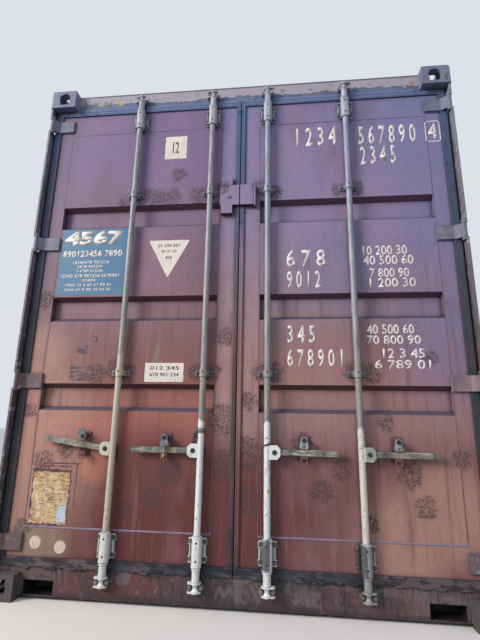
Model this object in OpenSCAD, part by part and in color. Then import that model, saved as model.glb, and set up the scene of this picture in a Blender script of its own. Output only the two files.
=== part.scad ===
// Forty foot high cube shipping container, doors at the -Y end.
// Inward distances from the side planes are called u, and from the door end plane v.

/* [Overall] */
// Length over the corner castings
length = 12192; // [11600:4:12800]
// Width over the corner castings
width = 2438; // [2400:2:2500]
// Height over the corner castings
height = 2896; // [2840:2:2960]

/* [Corner castings] */
// Casting size along the container
casting_l = 178; // [170:1:190]
// Casting size across the container
casting_w = 162; // [156:1:168]
// Casting height
casting_h = 118; // [112:1:124]
// Thickness of the top or bottom wall of a casting
casting_face = 28; // [24:1:32]
// Thickness of the side walls of a casting
casting_wall = 16; // [12:1:20]
// Thickness of the wall of a casting behind its slot
casting_back = 10; // [8:1:12]
// Rounding of the outer long edge of the slotted face
casting_round = 22; // [14:1:26]
// Slot length in the top and bottom castings
slot_l = 124.5; // [118:0.5:128]
// Slot width in the top and bottom castings
slot_w = 63.5; // [60:0.5:66]
// Slot centre from the side plane
slot_u = 89.5; // [86:0.5:93]
// Slot centre from the end plane
slot_v = 103.5; // [100:0.5:107]

/* [Rails, posts and floor] */
// Inset of the side rails and walls from the side plane
side_inset = 6; // [4:0.5:8]
// Size of the square top side rail
top_rail = 60; // [50:1:70]
// Wall of the tubes in the frame
tube_wall = 4; // [3:0.5:5]
// Height of the bottom side rail
bottom_rail_h = 160; // [150:1:165]
// Width of the top flange of the bottom side rail
bottom_rail_flange = 48; // [40:1:54]
// Underside of the base structure above the ground face of the castings
base_gap = 14; // [12.5:0.5:16]
// Top of the roof and headers below the top of the castings
roof_gap = 8; // [6:0.5:10]
// Top of the floor boards above the ground face
floor_top = 170; // [165:1:173]
// Thickness of the floor boards
floor_t = 28; // [25:0.5:30]
// Height of a floor cross member
cross_h = 120; // [110:1:122]
// Flange width of a floor cross member
cross_flange = 45; // [38:1:50]
// Spacing of the floor cross members
cross_pitch = 310; // [280:5:340]
// First cross member from the sill or the front sill
cross_first = 160; // [120:5:200]
// Gooseneck tunnel length from the front end
tunnel_l = 3315; // [3100:5:3500]
// Gooseneck tunnel clear width
tunnel_w = 1029; // [1000:1:1060]
// Gooseneck tunnel clear height
tunnel_h = 122; // [118:1:124]
// Thickness of the tunnel plates
tunnel_t = 6; // [4:0.5:8]
// Depth of the front sill along the container
front_sill_depth = 100; // [80:5:120]

// Thickness of the bent plate of a front post
front_post_t = 6; // [5:0.5:8]
// Thickness of the bottom side rail
bottom_rail_t = 4.5; // [4:0.5:6]

/* [Sheets] */
// Sheet thickness of walls and roof
sheet = 2; // [1.6:0.1:2.5]
// Pitch of the side wall corrugation
side_pitch = 278; // [250:1:300]
// Depth of the side wall corrugation
side_depth = 36; // [30:1:42]
// Width of one flat of the side wall corrugation
side_flat = 70; // [60:1:80]
// Pitch of the front wall corrugation
front_pitch = 250; // [230:1:280]
// Depth of the front wall corrugation
front_depth = 45; // [36:1:50]
// Pitch of the roof pressings
roof_pitch = 209; // [190:1:230]
// Depth of the roof pressings
roof_depth = 20; // [14:1:24]
// Gap from the corrugated walls to the outer face of the rails
wall_gap = 2; // [1:0.5:4]
// Width of the flat side strips of the roof
roof_strip = 90; // [70:5:120]

/* [Door end frame] */
// Header and sill face inward from the end plane
frame_v = 54; // [52:0.5:56]
// Back of the door end frame from the end plane
frame_back = 178; // [170:1:190]
// Face of the door stop inward from the end plane
stop_v = 108; // [107:0.5:112]
// Underside of the header front below the top of the castings
header_drop = 116; // [112:0.5:117]
// Underside of the door stop in the header below the top of the castings
stop_drop = 146; // [140:1:152]
// Top of the sill front
sill_top = 152; // [150:0.5:155]
// Width of the post outer leg
post_leg_t = 12; // [10:0.5:13]
// Front edge of the post outer leg
post_leg_v = 8; // [6:0.5:12]
// Side plane to the door opening
opening_u = 49; // [45:1:52]
// Width of a sill end pocket
pocket_w = 160; // [150:1:170]
// Top of a sill end pocket
pocket_top = 86; // [80:1:96]

/* [Doors] */
// Thickness of a door leaf
leaf_t = 50; // [46:0.5:52]
// Side plane to the hinge edge of a leaf
leaf_u = 55; // [52:0.5:60]
// Gap from the middle to the steel edge of a leaf
leaf_middle = 14; // [12:0.5:17]
// Bottom edge of a leaf
leaf_bottom = 160; // [158:1:164]
// Top edge of a leaf below the top of the castings
leaf_drop = 134; // [130:1:140]
// Width of the hinge side stile
hinge_stile = 93; // [80:1:100]
// Width of the middle stile
middle_stile = 101; // [90:1:110]
// Height of the top rail of a leaf
leaf_top_rail = 162; // [150:1:170]
// Height of the bottom rail of a leaf
leaf_bottom_rail = 165; // [150:1:170]
// Wall of the leaf frame
leaf_wall = 4; // [3:0.5:5]
// Middle heights of the three troughs in the panel
trough_z = [973, 1462, 2026];
// Height of a trough over its slopes
trough_h = 143; // [120:1:160]
// Depth of a trough
trough_depth = 36; // [30:1:40]
// Width of the slope of a trough
trough_slope = 22; // [16:1:40]

/* [Door gaskets] */
// Thickness of the gasket lip
lip_t = 7.7; // [6:0.1:8]
// Gap between the two gasket lips in the middle
lip_gap = 6; // [5.5:0.5:8]
// Overlap of the lip on the face of the leaf
lip_on_leaf = 12; // [8:0.5:16]
// Reach of the lip past the hinge edge of the leaf
lip_past_leaf = 29; // [24:0.5:30]

/* [Hinges] */
// Hinge axis inward from the side plane
hinge_u = 18; // [17:0.5:19]
// Hinge axis inward from the end plane
hinge_v = 22; // [21:0.5:23]
// Middle height of the lowest hinge
hinge_low = 254; // [240:1:280]
// Middle of the highest hinge below the top of the castings
hinge_drop = 233; // [220:1:250]
// Number of hinges on a post
hinge_count = 4; // [3:1:5]
// Height of a hinge blade
blade_h = 78; // [70:1:96]
// Thickness of a hinge blade
blade_t = 12; // [9:0.5:12]
// Inner end of a hinge blade from the side plane
blade_end = 150; // [140:1:170]
// Half width of the web of a blade where it meets the knuckle
blade_web = 12; // [9:0.5:13]
// Clearance above and below a hinge blade in its notch
blade_gap = 2; // [1:0.5:4]
// Radius of a hinge pin
pin_r = 9.8; // [8:0.1:10.5]
// Running clearance of a hinge pin
pin_gap = 0.2; // [0.2:0.05:0.4]
// Radius of the head of a hinge pin
pin_head_r = 11.6; // [11.2:0.1:12.4]
// Height of the head of a hinge pin
pin_head_h = 5; // [3:0.5:8]
// Outer radius of the hinge knuckle
knuckle_r = 14; // [13:0.1:14]
// Thickness of a hinge lug on the post
lug_t = 14; // [10:0.5:16]

/* [Locking gear] */
// Inner and outer locking bar of the left leaf from the middle
bar_x_left = [172, 626];
// Inner and outer locking bar of the right leaf from the middle
bar_x_right = [161, 614];
// Locking bar axis inward from the end plane
bar_v = 22; // [21:0.5:22]
// Radius of a locking bar
bar_r = 16; // [15:0.5:16.5]
// Wall of a locking bar
bar_wall = 3; // [2.5:0.1:4]
// Lower end of a locking bar
bar_bottom = 81; // [70:1:90]
// Upper end of a locking bar below the top of the castings
bar_drop = 62; // [48:1:70]
// Heights of the lower and the upper cam over both flanges
cam_h = [46, 45];
// Thickness of a cam flange
cam_flange = 8; // [6:0.5:9]
// Reach of the cam flange on the side that swings out
cam_long = 38; // [34:0.5:42]
// Reach of the cam flange on the side that swings in
cam_short = 27; // [22:0.5:27]
// Radius of the cam waist
cam_waist = 12; // [10:0.5:12]
// Radius of the shank between a cam and its bar
cam_shank_r = 18; // [17:0.5:18.5]
// Gap between a cam and its keeper
cam_gap = 5; // [5:0.5:6]
// Front of the keeper knobs inward from the end plane
knob_v = 14; // [8:1:20]
// Heights of the middle guides of a bar
guide_z = [1100, 2152];
// Middle of a bar bracket from the lower or upper edge of the leaf
bracket_inset = 96; // [90:1:110]
// Height of a bar bracket plate
bracket_h = 110; // [100:1:120]
// Width of a bar bracket plate
bracket_w = 92; // [84:1:96]
// Height of the upright side flanges of a bar bracket
bracket_rib_h = 52; // [40:1:60]
// Height of the strap of a middle guide
guide_h = 40; // [30:1:50]
// Width of a middle guide over both ears
guide_w = 98; // [88:1:104]
// Thickness of the plates bolted to the doors
plate_t = 6; // [5:0.5:6]
// Running clearance of a bar in its sleeve
sleeve_gap = 0.6; // [0.4:0.1:1]
// Wall of a bar sleeve
sleeve_wall = 4; // [3:0.5:4.4]
// Height of the long sleeve on a bar bracket
sleeve_h = 134; // [120:1:140]
// How much wider a long sleeve is than round
sleeve_spread = 8; // [4:1:10]

/* [Handles] */
// Height of the handles
handle_z = 713; // [700:1:900]
// Handle pin from the bar axis
handle_pin = 36; // [34:0.5:40]
// Length of the inner and outer handle of the left leaf from the pin to the tip
handle_l_left = [321, 348];
// Length of the inner and outer handle of the right leaf from the pin to the tip
handle_l_right = [321, 327];
// Height of the handle bar
handle_h = 29; // [28:1:36]
// Thickness of the handle bar
handle_t = 12; // [8:0.5:12]
// Radius of the handle pin
handle_pin_r = 7; // [6:0.5:8]
// Inner and outer handle catch of the left leaf from their bars
catch_x_left = [184, 160];
// Inner and outer handle catch of the right leaf from their bars
catch_x_right = [180, 171];
// Hasp rivet above the middle of the handle
hasp_up = 60; // [56:1:66]
// Thickness of the hasp
hasp_t = 5.5; // [5:0.1:6]
// Lift at rest of the outer left handle, in degrees
handle_1_lift = 8; // [0:0.5:8]
// Turn at rest of the hasp over the outer left handle, in degrees
hasp_1_turn = 150; // [140:5:180]

/* [Guard plate] */
// Reach of the guard plate from the middle to the left and to the right
guard_w = [114, 92];
// Bottom and top of the guard plate below the top of the castings
guard_drop = [832, 706];
// Heights of the blocks under and over the guard plate
guard_block_h = [52, 50];
// Gap between the two halves of the guard plate
guard_gap = 6; // [5.5:0.5:8]

/* [Hidden] */
$fn = 48;

half_w = width / 2;
half_l = length / 2;
end_y = -half_l;
roof_z = height - roof_gap;
header_bottom = height - header_drop;
header_stop = height - stop_drop;
leaf_top = height - leaf_drop;
hinge_step = (height - hinge_drop - hinge_low) / (hinge_count - 1);
hinge_z = [for (i = [0 : hinge_count - 1]) hinge_low + i * hinge_step];
bar_top = height - bar_drop;
bracket_z = [leaf_bottom + bracket_inset, leaf_top - bracket_inset];
post_z0 = casting_h;
post_z1 = height - casting_h;
leaf_back = frame_v + leaf_t;
rail_y = half_l - casting_l;
rail_z1 = roof_z;
rail_z0 = rail_z1 - top_rail;
sill_z0 = base_gap;
wall_z0 = base_gap + bottom_rail_h;
wall_z1 = rail_z0;
lip_v = frame_v - 0.3 - lip_t;
hasp_v = bar_v - handle_t / 2 - 5;
guard_z = [height - guard_drop[0], height - guard_drop[1]];
eps = 0.01;

paint = "#7d4f55";
steel = "#9aa09c";
rubber = "#31405c";

// Mirrors a left side shape to the right side when side is 1
module on_side(side) {
    mirror([side > 0 ? 1 : 0, 0, 0]) children();
}

// Places a shape drawn in u, v and z at the left door end corner
module at_left_door_corner() {
    translate([-half_w, end_y, 0]) children();
}

// A box from its low corner to its high corner
module block(a, b) {
    translate(a) cube(b - a);
}

// Places by side and bar, the inner bar first
function bars(side) = side < 0 ? bar_x_left : bar_x_right;
function catches(side) = side < 0 ? catch_x_left : catch_x_right;
function handle_lengths(side) = side < 0 ? handle_l_left : handle_l_right;

// Radius of the notches in a cam of height h, and their middle from the bar axis
function notch_r(h) = h / 2 - cam_flange;
function notch_x(h) = cam_waist + notch_r(h);

// A rectangular tube along X, given by its low and high corners in Y and Z
module tube_x(x0, x1, lo, hi, t) {
    difference() {
        block([x0, lo[0], lo[1]], [x1, hi[0], hi[1]]);
        block([x0 - 1, lo[0] + t, lo[1] + t], [x1 + 1, hi[0] - t, hi[1] - t]);
    }
}

// A rounded bar end to end slot, centred, long side along X
module slot_shape(l, w) {
    translate([-(l - w) / 2, 0]) circle(d = w);
    translate([(l - w) / 2, 0]) circle(d = w);
    square([l - w, w], center = true);
}

// Outline of a casting seen from above, with its outer corner rounded
module casting_outline() {
    r = 14;
    difference() {
        square([casting_w, casting_l]);
        difference() {
            translate([-1, -1]) square(r + 1);
            translate([r, r]) circle(r);
        }
    }
}

// Shield shaped hole in the end face of a casting, with its arch towards the slotted face
module shield_hole() {
    hole_w = 68;
    hole_h = 78;
    arc_r = hole_w / 2 + 3;
    foot = 30;
    intersection() {
        union() {
            translate([0, arc_r - hole_h / 2]) circle(arc_r);
            translate([-foot, 0]) square([2 * foot, hole_h / 2]);
        }
        translate([-hole_w / 2, -hole_h / 2]) square([hole_w, hole_h]);
    }
}

// What the rounding of the outer long edge of a casting takes away
module casting_edge() {
    r = casting_round;
    difference() {
        translate([-1, -1, -1]) cube([r + 1, casting_l + 2, r + 1]);
        translate([r, -2, r]) rotate([-90, 0, 0]) cylinder(r = r, h = casting_l + 4);
    }
}

// One corner casting in u, v and w, with w measured in from its slotted face
module casting() {
    side_hole_l = 79.5;
    side_hole_w = 51;
    middle = casting_h / 2;
    difference() {
        linear_extrude(casting_h) casting_outline();
        block([casting_wall, casting_wall, casting_face],
              [casting_w - casting_wall, casting_l - casting_back, casting_h - casting_wall]);
        translate([slot_u, slot_v, -1]) rotate(90)
            linear_extrude(casting_face + 2) slot_shape(slot_l, slot_w);
        translate([-1, slot_v, middle]) rotate([90, 0, 90])
            linear_extrude(casting_wall + 2) slot_shape(side_hole_l, side_hole_w);
        translate([slot_u, casting_wall + 1, middle]) rotate([90, 0, 0])
            linear_extrude(casting_wall + 2) shield_hole();
        casting_edge();
    }
}

// The four castings of the bottom frame
module castings_bottom() {
    color(steel) for (sx = [0, 1]) for (sy = [0, 1])
        mirror([sx, 0, 0]) mirror([0, sy, 0])
            translate([-half_w, -half_l, 0]) casting();
}

// The four castings of the top frame
module castings_top() {
    color(steel) for (sx = [0, 1]) for (sy = [0, 1])
        mirror([sx, 0, 0]) mirror([0, sy, 0])
            translate([-half_w, -half_l, height]) mirror([0, 0, 1]) casting();
}

// Outline of a door end post in u and v: an outer leg and a boxed inner channel
module rear_post_outline() {
    inner_t = 8;
    leg_u = 4;
    difference() {
        union() {
            translate([leg_u, post_leg_v]) square([post_leg_t, frame_back - post_leg_v]);
            translate([leg_u, stop_v]) square([opening_u - leg_u, frame_back - stop_v]);
        }
        translate([leg_u + post_leg_t, stop_v + inner_t])
            square([opening_u - leg_u - post_leg_t - inner_t, frame_back - stop_v - 2 * inner_t]);
    }
}

// Outline of a hinge lug in u and v, with its bore
module lug_outline() {
    leg_u = 4;
    difference() {
        union() {
            translate([hinge_u, hinge_v]) circle(knuckle_r);
            translate([leg_u, post_leg_v]) square([post_leg_t, 2 * (hinge_v - post_leg_v)]);
        }
        translate([hinge_u, hinge_v]) circle(pin_r + pin_gap);
    }
}

// A door end post with its hinge notches and lugs
module rear_post(side) {
    notch_half = blade_h / 2 + blade_gap;
    notch_v = frame_v + 20;
    color(paint) on_side(side) at_left_door_corner() difference() {
        union() {
            translate([0, 0, post_z0]) linear_extrude(post_z1 - post_z0) rear_post_outline();
            for (z = hinge_z) for (s = [-1, 1])
                translate([0, 0, z + s * (notch_half + lug_t / 2) - lug_t / 2])
                    linear_extrude(lug_t) lug_outline();
        }
        for (z = hinge_z) {
            block([0, 0, z - notch_half], [4 + post_leg_t + 1, notch_v, z + notch_half]);
            translate([hinge_u, hinge_v, z - notch_half - lug_t - 1])
                cylinder(r = pin_r + pin_gap, h = 2 * (notch_half + lug_t + 1));
            translate([hinge_u, hinge_v, z + notch_half + lug_t])
                cylinder(r = pin_head_r + pin_gap, h = pin_head_h + 1);
        }
    }
}

// The pins of the door hinges, each with a head on its upper lug
module hinge_pins() {
    reach = blade_h / 2 + blade_gap + lug_t;
    color(steel) for (side = [-1, 1]) on_side(side) at_left_door_corner()
        for (z = hinge_z) translate([hinge_u, hinge_v, z]) {
            translate([0, 0, -reach]) cylinder(r = pin_r, h = 2 * reach);
            translate([0, 0, reach]) cylinder(r = pin_head_r, h = pin_head_h);
        }
}

// A front end post: a bent corner plate whose edges turn in to meet the two walls
module front_post(side) {
    t = front_post_t;
    side_edge = side_inset + side_depth + 2 * sheet + 4;
    front_edge = side_inset + front_depth + 2 * sheet + 4;
    color(paint) on_side(side) translate([-half_w, half_l, post_z0])
        linear_extrude(post_z1 - post_z0) polygon([
            [side_inset, -side_inset], [casting_w, -side_inset], [casting_w, -front_edge],
            [casting_w - t, -front_edge], [casting_w - t, -side_inset - t], [side_inset + t, -side_inset - t],
            [side_inset + t, -casting_l + t], [side_edge, -casting_l + t], [side_edge, -casting_l],
            [side_inset, -casting_l]
        ]);
}

// Outline of the header in v and z
module header_outline() {
    polygon([
        [frame_v, header_bottom], [frame_v, roof_z], [frame_back, roof_z],
        [frame_back, header_stop], [stop_v, header_stop], [stop_v, header_bottom]
    ]);
}

// Inside of the header in v and z
module header_inside() {
    t = tube_wall;
    polygon([
        [frame_v + t, header_bottom + t], [frame_v + t, roof_z - t], [frame_back - t, roof_z - t],
        [frame_back - t, header_stop + t], [stop_v + t, header_stop + t], [stop_v + t, header_bottom + t]
    ]);
}

// Turns an outline in v and z into a bar along X
module along_x(x0, x1) {
    translate([x0, end_y, 0]) rotate([90, 0, 90]) linear_extrude(x1 - x0) children();
}

// The header over the doors, a hollow step section
module door_header() {
    t = tube_wall;
    inner = half_w - casting_w;
    reach = half_w - opening_u;
    color(paint) {
        difference() {
            union() {
                along_x(-inner, inner) header_outline();
                along_x(-reach, reach) translate([stop_v, header_stop])
                    square([frame_back - stop_v, post_z1 - header_stop]);
            }
            along_x(-inner - 1, inner + 1) header_inside();
            for (s = [0, 1]) mirror([s, 0, 0]) along_x(inner + t, reach + 1)
                translate([stop_v + t, header_stop + t])
                    square([frame_back - stop_v - 2 * t, post_z1 - header_stop - 2 * t]);
        }
    }
}

// Outline of the sill in v and z, with the door stop behind
module sill_outline() {
    stop_top = floor_top + 4;
    polygon([
        [frame_v, sill_z0], [frame_v, sill_top], [stop_v, sill_top],
        [stop_v, stop_top], [frame_back, stop_top], [frame_back, sill_z0]
    ]);
}

// Inside of the sill in v and z
module sill_inside() {
    t = tube_wall;
    stop_top = floor_top + 4;
    polygon([
        [frame_v + t, sill_z0 + t], [frame_v + t, sill_top - t], [stop_v + t, sill_top - t],
        [stop_v + t, stop_top - t], [frame_back - t, stop_top - t], [frame_back - t, sill_z0 + t]
    ]);
}

// The sill under the doors, with an open pocket beside each casting
module door_sill() {
    t = tube_wall;
    inner = half_w - casting_w;
    reach = half_w - opening_u;
    leg_reach = half_w - 4 - post_leg_t;
    pocket_t = 6;
    pocket_out = inner - 16;
    pocket_in = pocket_out - pocket_w;
    color(paint) difference() {
        union() {
            difference() {
                union() {
                    along_x(-inner, inner) sill_outline();
                    along_x(-leg_reach, leg_reach) translate([frame_v, casting_h])
                        square([stop_v - frame_v, sill_top - casting_h]);
                    along_x(-reach, reach) translate([stop_v, casting_h])
                        square([frame_back - stop_v, floor_top + 4 - casting_h]);
                }
                along_x(-inner + t, inner - t) sill_inside();
            }
            for (s = [0, 1]) mirror([s, 0, 0])
                along_x(pocket_in - pocket_t, inner) translate([frame_v, sill_z0])
                    square([frame_back - frame_v, pocket_top + pocket_t - sill_z0]);
        }
        for (s = [0, 1]) mirror([s, 0, 0])
            along_x(pocket_in, pocket_out) translate([frame_v - 1, sill_z0 + pocket_t])
                square([frame_back - frame_v - pocket_t, pocket_top - sill_z0 - pocket_t]);
    }
}

// The tube over the front wall, with a plate from it to the end of the roof
module front_header() {
    inner = half_w - casting_w;
    y0 = half_l - side_inset - top_rail;
    color(paint) {
        tube_x(-inner, inner, [y0, rail_z0], [half_l - side_inset, rail_z1], tube_wall);
        block([-inner, rail_y, rail_z1 - sheet], [inner, y0 + 1, rail_z1]);
    }
}

// The front sill, boxed at both sides of the tunnel mouth and thin over it
module front_sill() {
    inner = half_w - casting_w;
    t = tube_wall;
    depth = front_sill_depth;
    y1 = half_l - side_inset;
    color(paint) difference() {
        block([-inner, y1 - depth, base_gap], [inner, y1, floor_top]);
        block([-tunnel_w / 2, y1 - depth - 1, base_gap - 1], [tunnel_w / 2, y1 + 1, tunnel_h]);
        for (s = [0, 1]) mirror([s, 0, 0])
            block([tunnel_w / 2 + t, y1 - depth + t, base_gap + t], [inner - t, y1 - t, floor_top - t]);
        block([-tunnel_w / 2, y1 - depth + t, tunnel_h + t], [tunnel_w / 2, y1 - t, floor_top - t]);
    }
}

// A square tube between the top castings
module top_rail_tube(side) {
    u0 = side_inset;
    color(paint) on_side(side) difference() {
        block([-half_w + u0, -rail_y, rail_z0], [-half_w + u0 + top_rail, rail_y, rail_z1]);
        block([-half_w + u0 + tube_wall, -rail_y - 1, rail_z0 + tube_wall],
              [-half_w + u0 + top_rail - tube_wall, rail_y + 1, rail_z1 - tube_wall]);
    }
}

// The channel between the bottom castings, open to the inside
module bottom_rail_channel(side) {
    t = bottom_rail_t;
    low_flange = 30;
    color(paint) on_side(side) translate([-half_w + side_inset, -rail_y, 0]) {
        block([0, 0, base_gap], [t, 2 * rail_y, wall_z0]);
        block([0, 0, wall_z0 - t], [bottom_rail_flange, 2 * rail_y, wall_z0]);
        block([0, 0, base_gap], [low_flange, 2 * rail_y, base_gap + t]);
    }
}

// Corner points of a corrugated line: n waves from s0, each with a flat out, a slope, a flat in and a slope
function waves(s0, n, pitch, flat, depth) = [
    for (i = [0 : n - 1]) let (slope = pitch / 2 - flat, s = s0 + i * pitch)
        each [[s, 0], [s + flat, 0], [s + flat + slope, depth], [s + 2 * flat + slope, depth]]
];

// How many waves fit on a span with a flat of at least 20 left at both ends
function wave_count(span, pitch, flat) = floor((span - flat - 2 * (pitch / 2 - flat + 20)) / pitch);
function wave_start(span, pitch, flat) = (span - wave_count(span, pitch, flat) * pitch - flat) / 2;

// Outline of a corrugated sheet from 0 to span, with the depth and the sheet measured inwards
function corrugated(span, pitch, flat, depth, t) =
    let (n = wave_count(span, pitch, flat), s0 = wave_start(span, pitch, flat), slope = pitch / 2 - flat,
         s1 = s0 + n * pitch,
         line = concat([[0, depth], [s0 - slope, depth]], waves(s0, n, pitch, flat, depth),
                       [[s1, 0], [s1 + flat, 0], [s1 + flat + slope, depth], [span, depth]]),
         back = [for (i = [len(line) - 1 : -1 : 0]) line[i] + [0, t]])
    concat(line, back);

// A corrugated side wall between the rails and the posts
module side_wall(side) {
    line = corrugated(2 * rail_y, side_pitch, side_flat, side_depth, sheet);
    color(paint) on_side(side) translate([-half_w + side_inset + wall_gap, -rail_y, wall_z0])
        linear_extrude(wall_z1 - wall_z0) polygon([for (p = line) [p[1], p[0]]]);
}

// The corrugated front wall between the front posts
module front_wall() {
    inner = half_w - casting_w;
    flat = 70;
    color(paint) translate([inner, half_l - side_inset - wall_gap, floor_top])
        linear_extrude(rail_z0 - floor_top) rotate(180)
            polygon(corrugated(2 * inner, front_pitch, flat, front_depth, sheet));
}

// Cross section of the roof sheet along the container, pressed down in bands
function roof_line(span) = let (flat = 60, slope = 30, count = floor((span - 2 * flat) / roof_pitch),
                                start = (span - count * roof_pitch) / 2, low = roof_pitch - flat - 2 * slope)
    concat([[0, 0]],
           [for (i = [0 : count - 1]) let (s = start + i * roof_pitch)
               each [[s + flat / 2, 0], [s + flat / 2 + slope, -roof_depth],
                     [s + flat / 2 + slope + low, -roof_depth], [s + flat / 2 + 2 * slope + low, 0]]],
           [[span, 0]]);

// The roof sheet, with bands pressed down between flat side strips
module roof() {
    edge = roof_strip;
    reach = half_w - side_inset - top_rail;
    y0 = -half_l + frame_back;
    span = rail_y - y0;
    line = roof_line(span);
    lower = [for (i = [len(line) - 1 : -1 : 0]) line[i] - [0, sheet]];
    color(paint) translate([0, y0, rail_z1]) {
        translate([-reach + edge, 0, 0]) rotate([90, 0, 90])
            linear_extrude(2 * (reach - edge)) polygon(concat(line, lower));
        for (s = [-1, 1]) {
            block([s > 0 ? reach - edge : -reach, 0, -sheet], [s > 0 ? reach : -reach + edge, span, 0]);
            translate([s * (reach - edge) - sheet / 2, 0, 0]) rotate([90, 0, 90])
                linear_extrude(sheet) polygon(concat([[0, 0], [span, 0]], lower));
        }
    }
}

// The floor boards, in two rows beside a gap for sealant
module floor_boards() {
    rows = 5;
    joint = 2;
    reach = half_w - side_inset - bottom_rail_flange - joint;
    y0 = -half_l + frame_back + joint;
    y1 = half_l - side_inset - front_sill_depth - joint;
    step = (y1 - y0) / rows;
    color("#8a6b45") for (s = [-1, 1]) for (i = [0 : rows - 1])
        block([s > 0 ? joint / 2 : -reach, y0 + i * step, floor_top - floor_t],
              [s > 0 ? reach : -joint / 2, y0 + (i + 1) * step - joint, floor_top]);
}

// One floor cross member, a channel along X
module cross_member(x0, x1, y) {
    t = 4;
    z1 = floor_top - floor_t;
    z0 = z1 - cross_h;
    block([x0, y, z0], [x1, y + t, z1]);
    block([x0, y, z1 - t], [x1, y + cross_flange, z1]);
    block([x0, y, z0], [x1, y + cross_flange, z0 + t]);
}

// The cross members, whole behind the tunnel and cut to both sides of it
module cross_members() {
    reach = half_w - side_inset - bottom_rail_t;
    tunnel_side = tunnel_w / 2 + tunnel_t;
    y0 = -half_l + frame_back + cross_first;
    y1 = half_l - tunnel_l;
    y2 = half_l - side_inset - front_sill_depth - cross_first;
    whole = floor((y1 - y0) / cross_pitch);
    cut = floor((y2 - y1) / cross_pitch);
    color(paint) {
        for (i = [0 : whole]) cross_member(-reach, reach, y0 + i * cross_pitch);
        for (i = [0 : cut]) for (s = [-1, 1])
            cross_member(s > 0 ? tunnel_side : -reach, s > 0 ? reach : -tunnel_side, y2 - i * cross_pitch);
    }
}

// The roof and sides of the gooseneck tunnel, with bows under the floor
module gooseneck_tunnel() {
    t = tunnel_t;
    y1 = half_l - side_inset - front_sill_depth;
    y0 = half_l - tunnel_l;
    half = tunnel_w / 2;
    bow = 60;
    color(paint) {
        for (s = [-1, 1]) block([s > 0 ? half : -half - t, y0, base_gap], [s > 0 ? half + t : -half, y1, tunnel_h + t]);
        block([-half, y0, tunnel_h], [half, y1, tunnel_h + t]);
        for (y = [y0 + bow : cross_pitch : y1 - bow])
            block([-half, y, tunnel_h + t - eps], [half, y + bow, floor_top - floor_t]);
    }
}

// A keeper at the mid height of a cam of height h: a plate on the frame and two round knobs beside the waist
module keeper(h) {
    knob_r = notch_r(h) - cam_gap;
    plate_t = 8;
    plate_x = notch_x(h) + knob_r + 3;
    block([-plate_x, frame_v - plate_t, -knob_r], [plate_x, frame_v, knob_r]);
    for (s = [-1, 1]) translate([s * notch_x(h), frame_v - plate_t / 2, 0]) rotate([90, 0, 0])
        cylinder(r = knob_r, h = frame_v - plate_t / 2 - knob_v);
}

// The keepers of all four bars on the header and the sill
module cam_keepers() {
    color(steel) for (side = [-1, 1]) for (x = bars(side)) {
        translate([side * x, end_y, bar_bottom + cam_h[0] / 2]) keeper(cam_h[0]);
        translate([side * x, end_y, bar_top - cam_h[1] / 2]) keeper(cam_h[1]);
    }
}

// Small covers over the vents, in the recesses of the side walls near the top
module ventilators() {
    cover_w = 60;
    cover_h = 190;
    cover_t = 14;
    span = 2 * rail_y;
    count = wave_count(span, side_pitch, side_flat);
    first = -rail_y + wave_start(span, side_pitch, side_flat) + side_pitch / 2 + side_flat / 2;
    from_end = 3;
    below_rail = 320;
    color(steel) for (side = [-1, 1]) for (i = [from_end, count - 1 - from_end]) on_side(side)
        translate([-half_w + side_inset + wall_gap + side_depth, first + i * side_pitch, wall_z1 - below_rail])
            rotate([90, 0, -90]) translate([-cover_w / 2, 0, 0]) cube([cover_w, cover_h, cover_t]);
}

// The frame of the left leaf: two hollow stiles and two channels
module door_frame() {
    t = leaf_wall;
    x0 = -half_w + leaf_u;
    x1 = -leaf_middle;
    difference() {
        union() {
            block([x0, frame_v, leaf_bottom], [x0 + hinge_stile, leaf_back, leaf_top]);
            block([x1 - middle_stile, frame_v, leaf_bottom], [x1, leaf_back, leaf_top]);
            block([x0, frame_v, leaf_bottom], [x1, leaf_back, leaf_bottom + leaf_bottom_rail]);
            block([x0, frame_v, leaf_top - leaf_top_rail], [x1, leaf_back, leaf_top]);
        }
        block([x0 + t, frame_v + t, leaf_bottom + t], [x0 + hinge_stile - t, leaf_back - t, leaf_top - t]);
        block([x1 - middle_stile + t, frame_v + t, leaf_bottom + t], [x1 - t, leaf_back - t, leaf_top - t]);
        block([x0 + hinge_stile, frame_v + t, leaf_bottom + t],
              [x1 - middle_stile, leaf_back + 1, leaf_bottom + leaf_bottom_rail - t]);
        block([x0 + hinge_stile, frame_v + t, leaf_top - leaf_top_rail + t],
              [x1 - middle_stile, leaf_back + 1, leaf_top - t]);
    }
}

// Cross section of the panel in v and z, with its troughs
module panel_outline() {
    v0 = frame_v;
    line = concat([[v0, leaf_bottom + leaf_bottom_rail]],
                  [for (z = trough_z) each [
                      [v0, z - trough_h / 2], [v0 + trough_depth, z - trough_h / 2 + trough_slope],
                      [v0 + trough_depth, z + trough_h / 2 - trough_slope], [v0, z + trough_h / 2]]],
                  [[v0, leaf_top - leaf_top_rail]]);
    back = [for (i = [len(line) - 1 : -1 : 0]) line[i] + [sheet, 0]];
    polygon(concat(line, back));
}

// The panel of the left leaf
module door_panel() {
    x0 = -half_w + leaf_u + hinge_stile;
    x1 = -leaf_middle - middle_stile;
    translate([x0, 0, 0]) rotate([90, 0, 90]) linear_extrude(x1 - x0) panel_outline();
}

// Outer outline of the gasket lip of the left leaf in x and z
module lip_outline() {
    x0 = -half_w + leaf_u - lip_past_leaf;
    x1 = -lip_gap / 2;
    low = leaf_bottom - 14;
    under_casting = post_z1 - 5;
    top = header_bottom + 4;
    x_casting = -half_w + casting_w + 4;
    translate([x0, low]) square([x1 - x0, under_casting - low]);
    translate([x_casting, low]) square([x1 - x_casting, top - low]);
}

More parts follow.
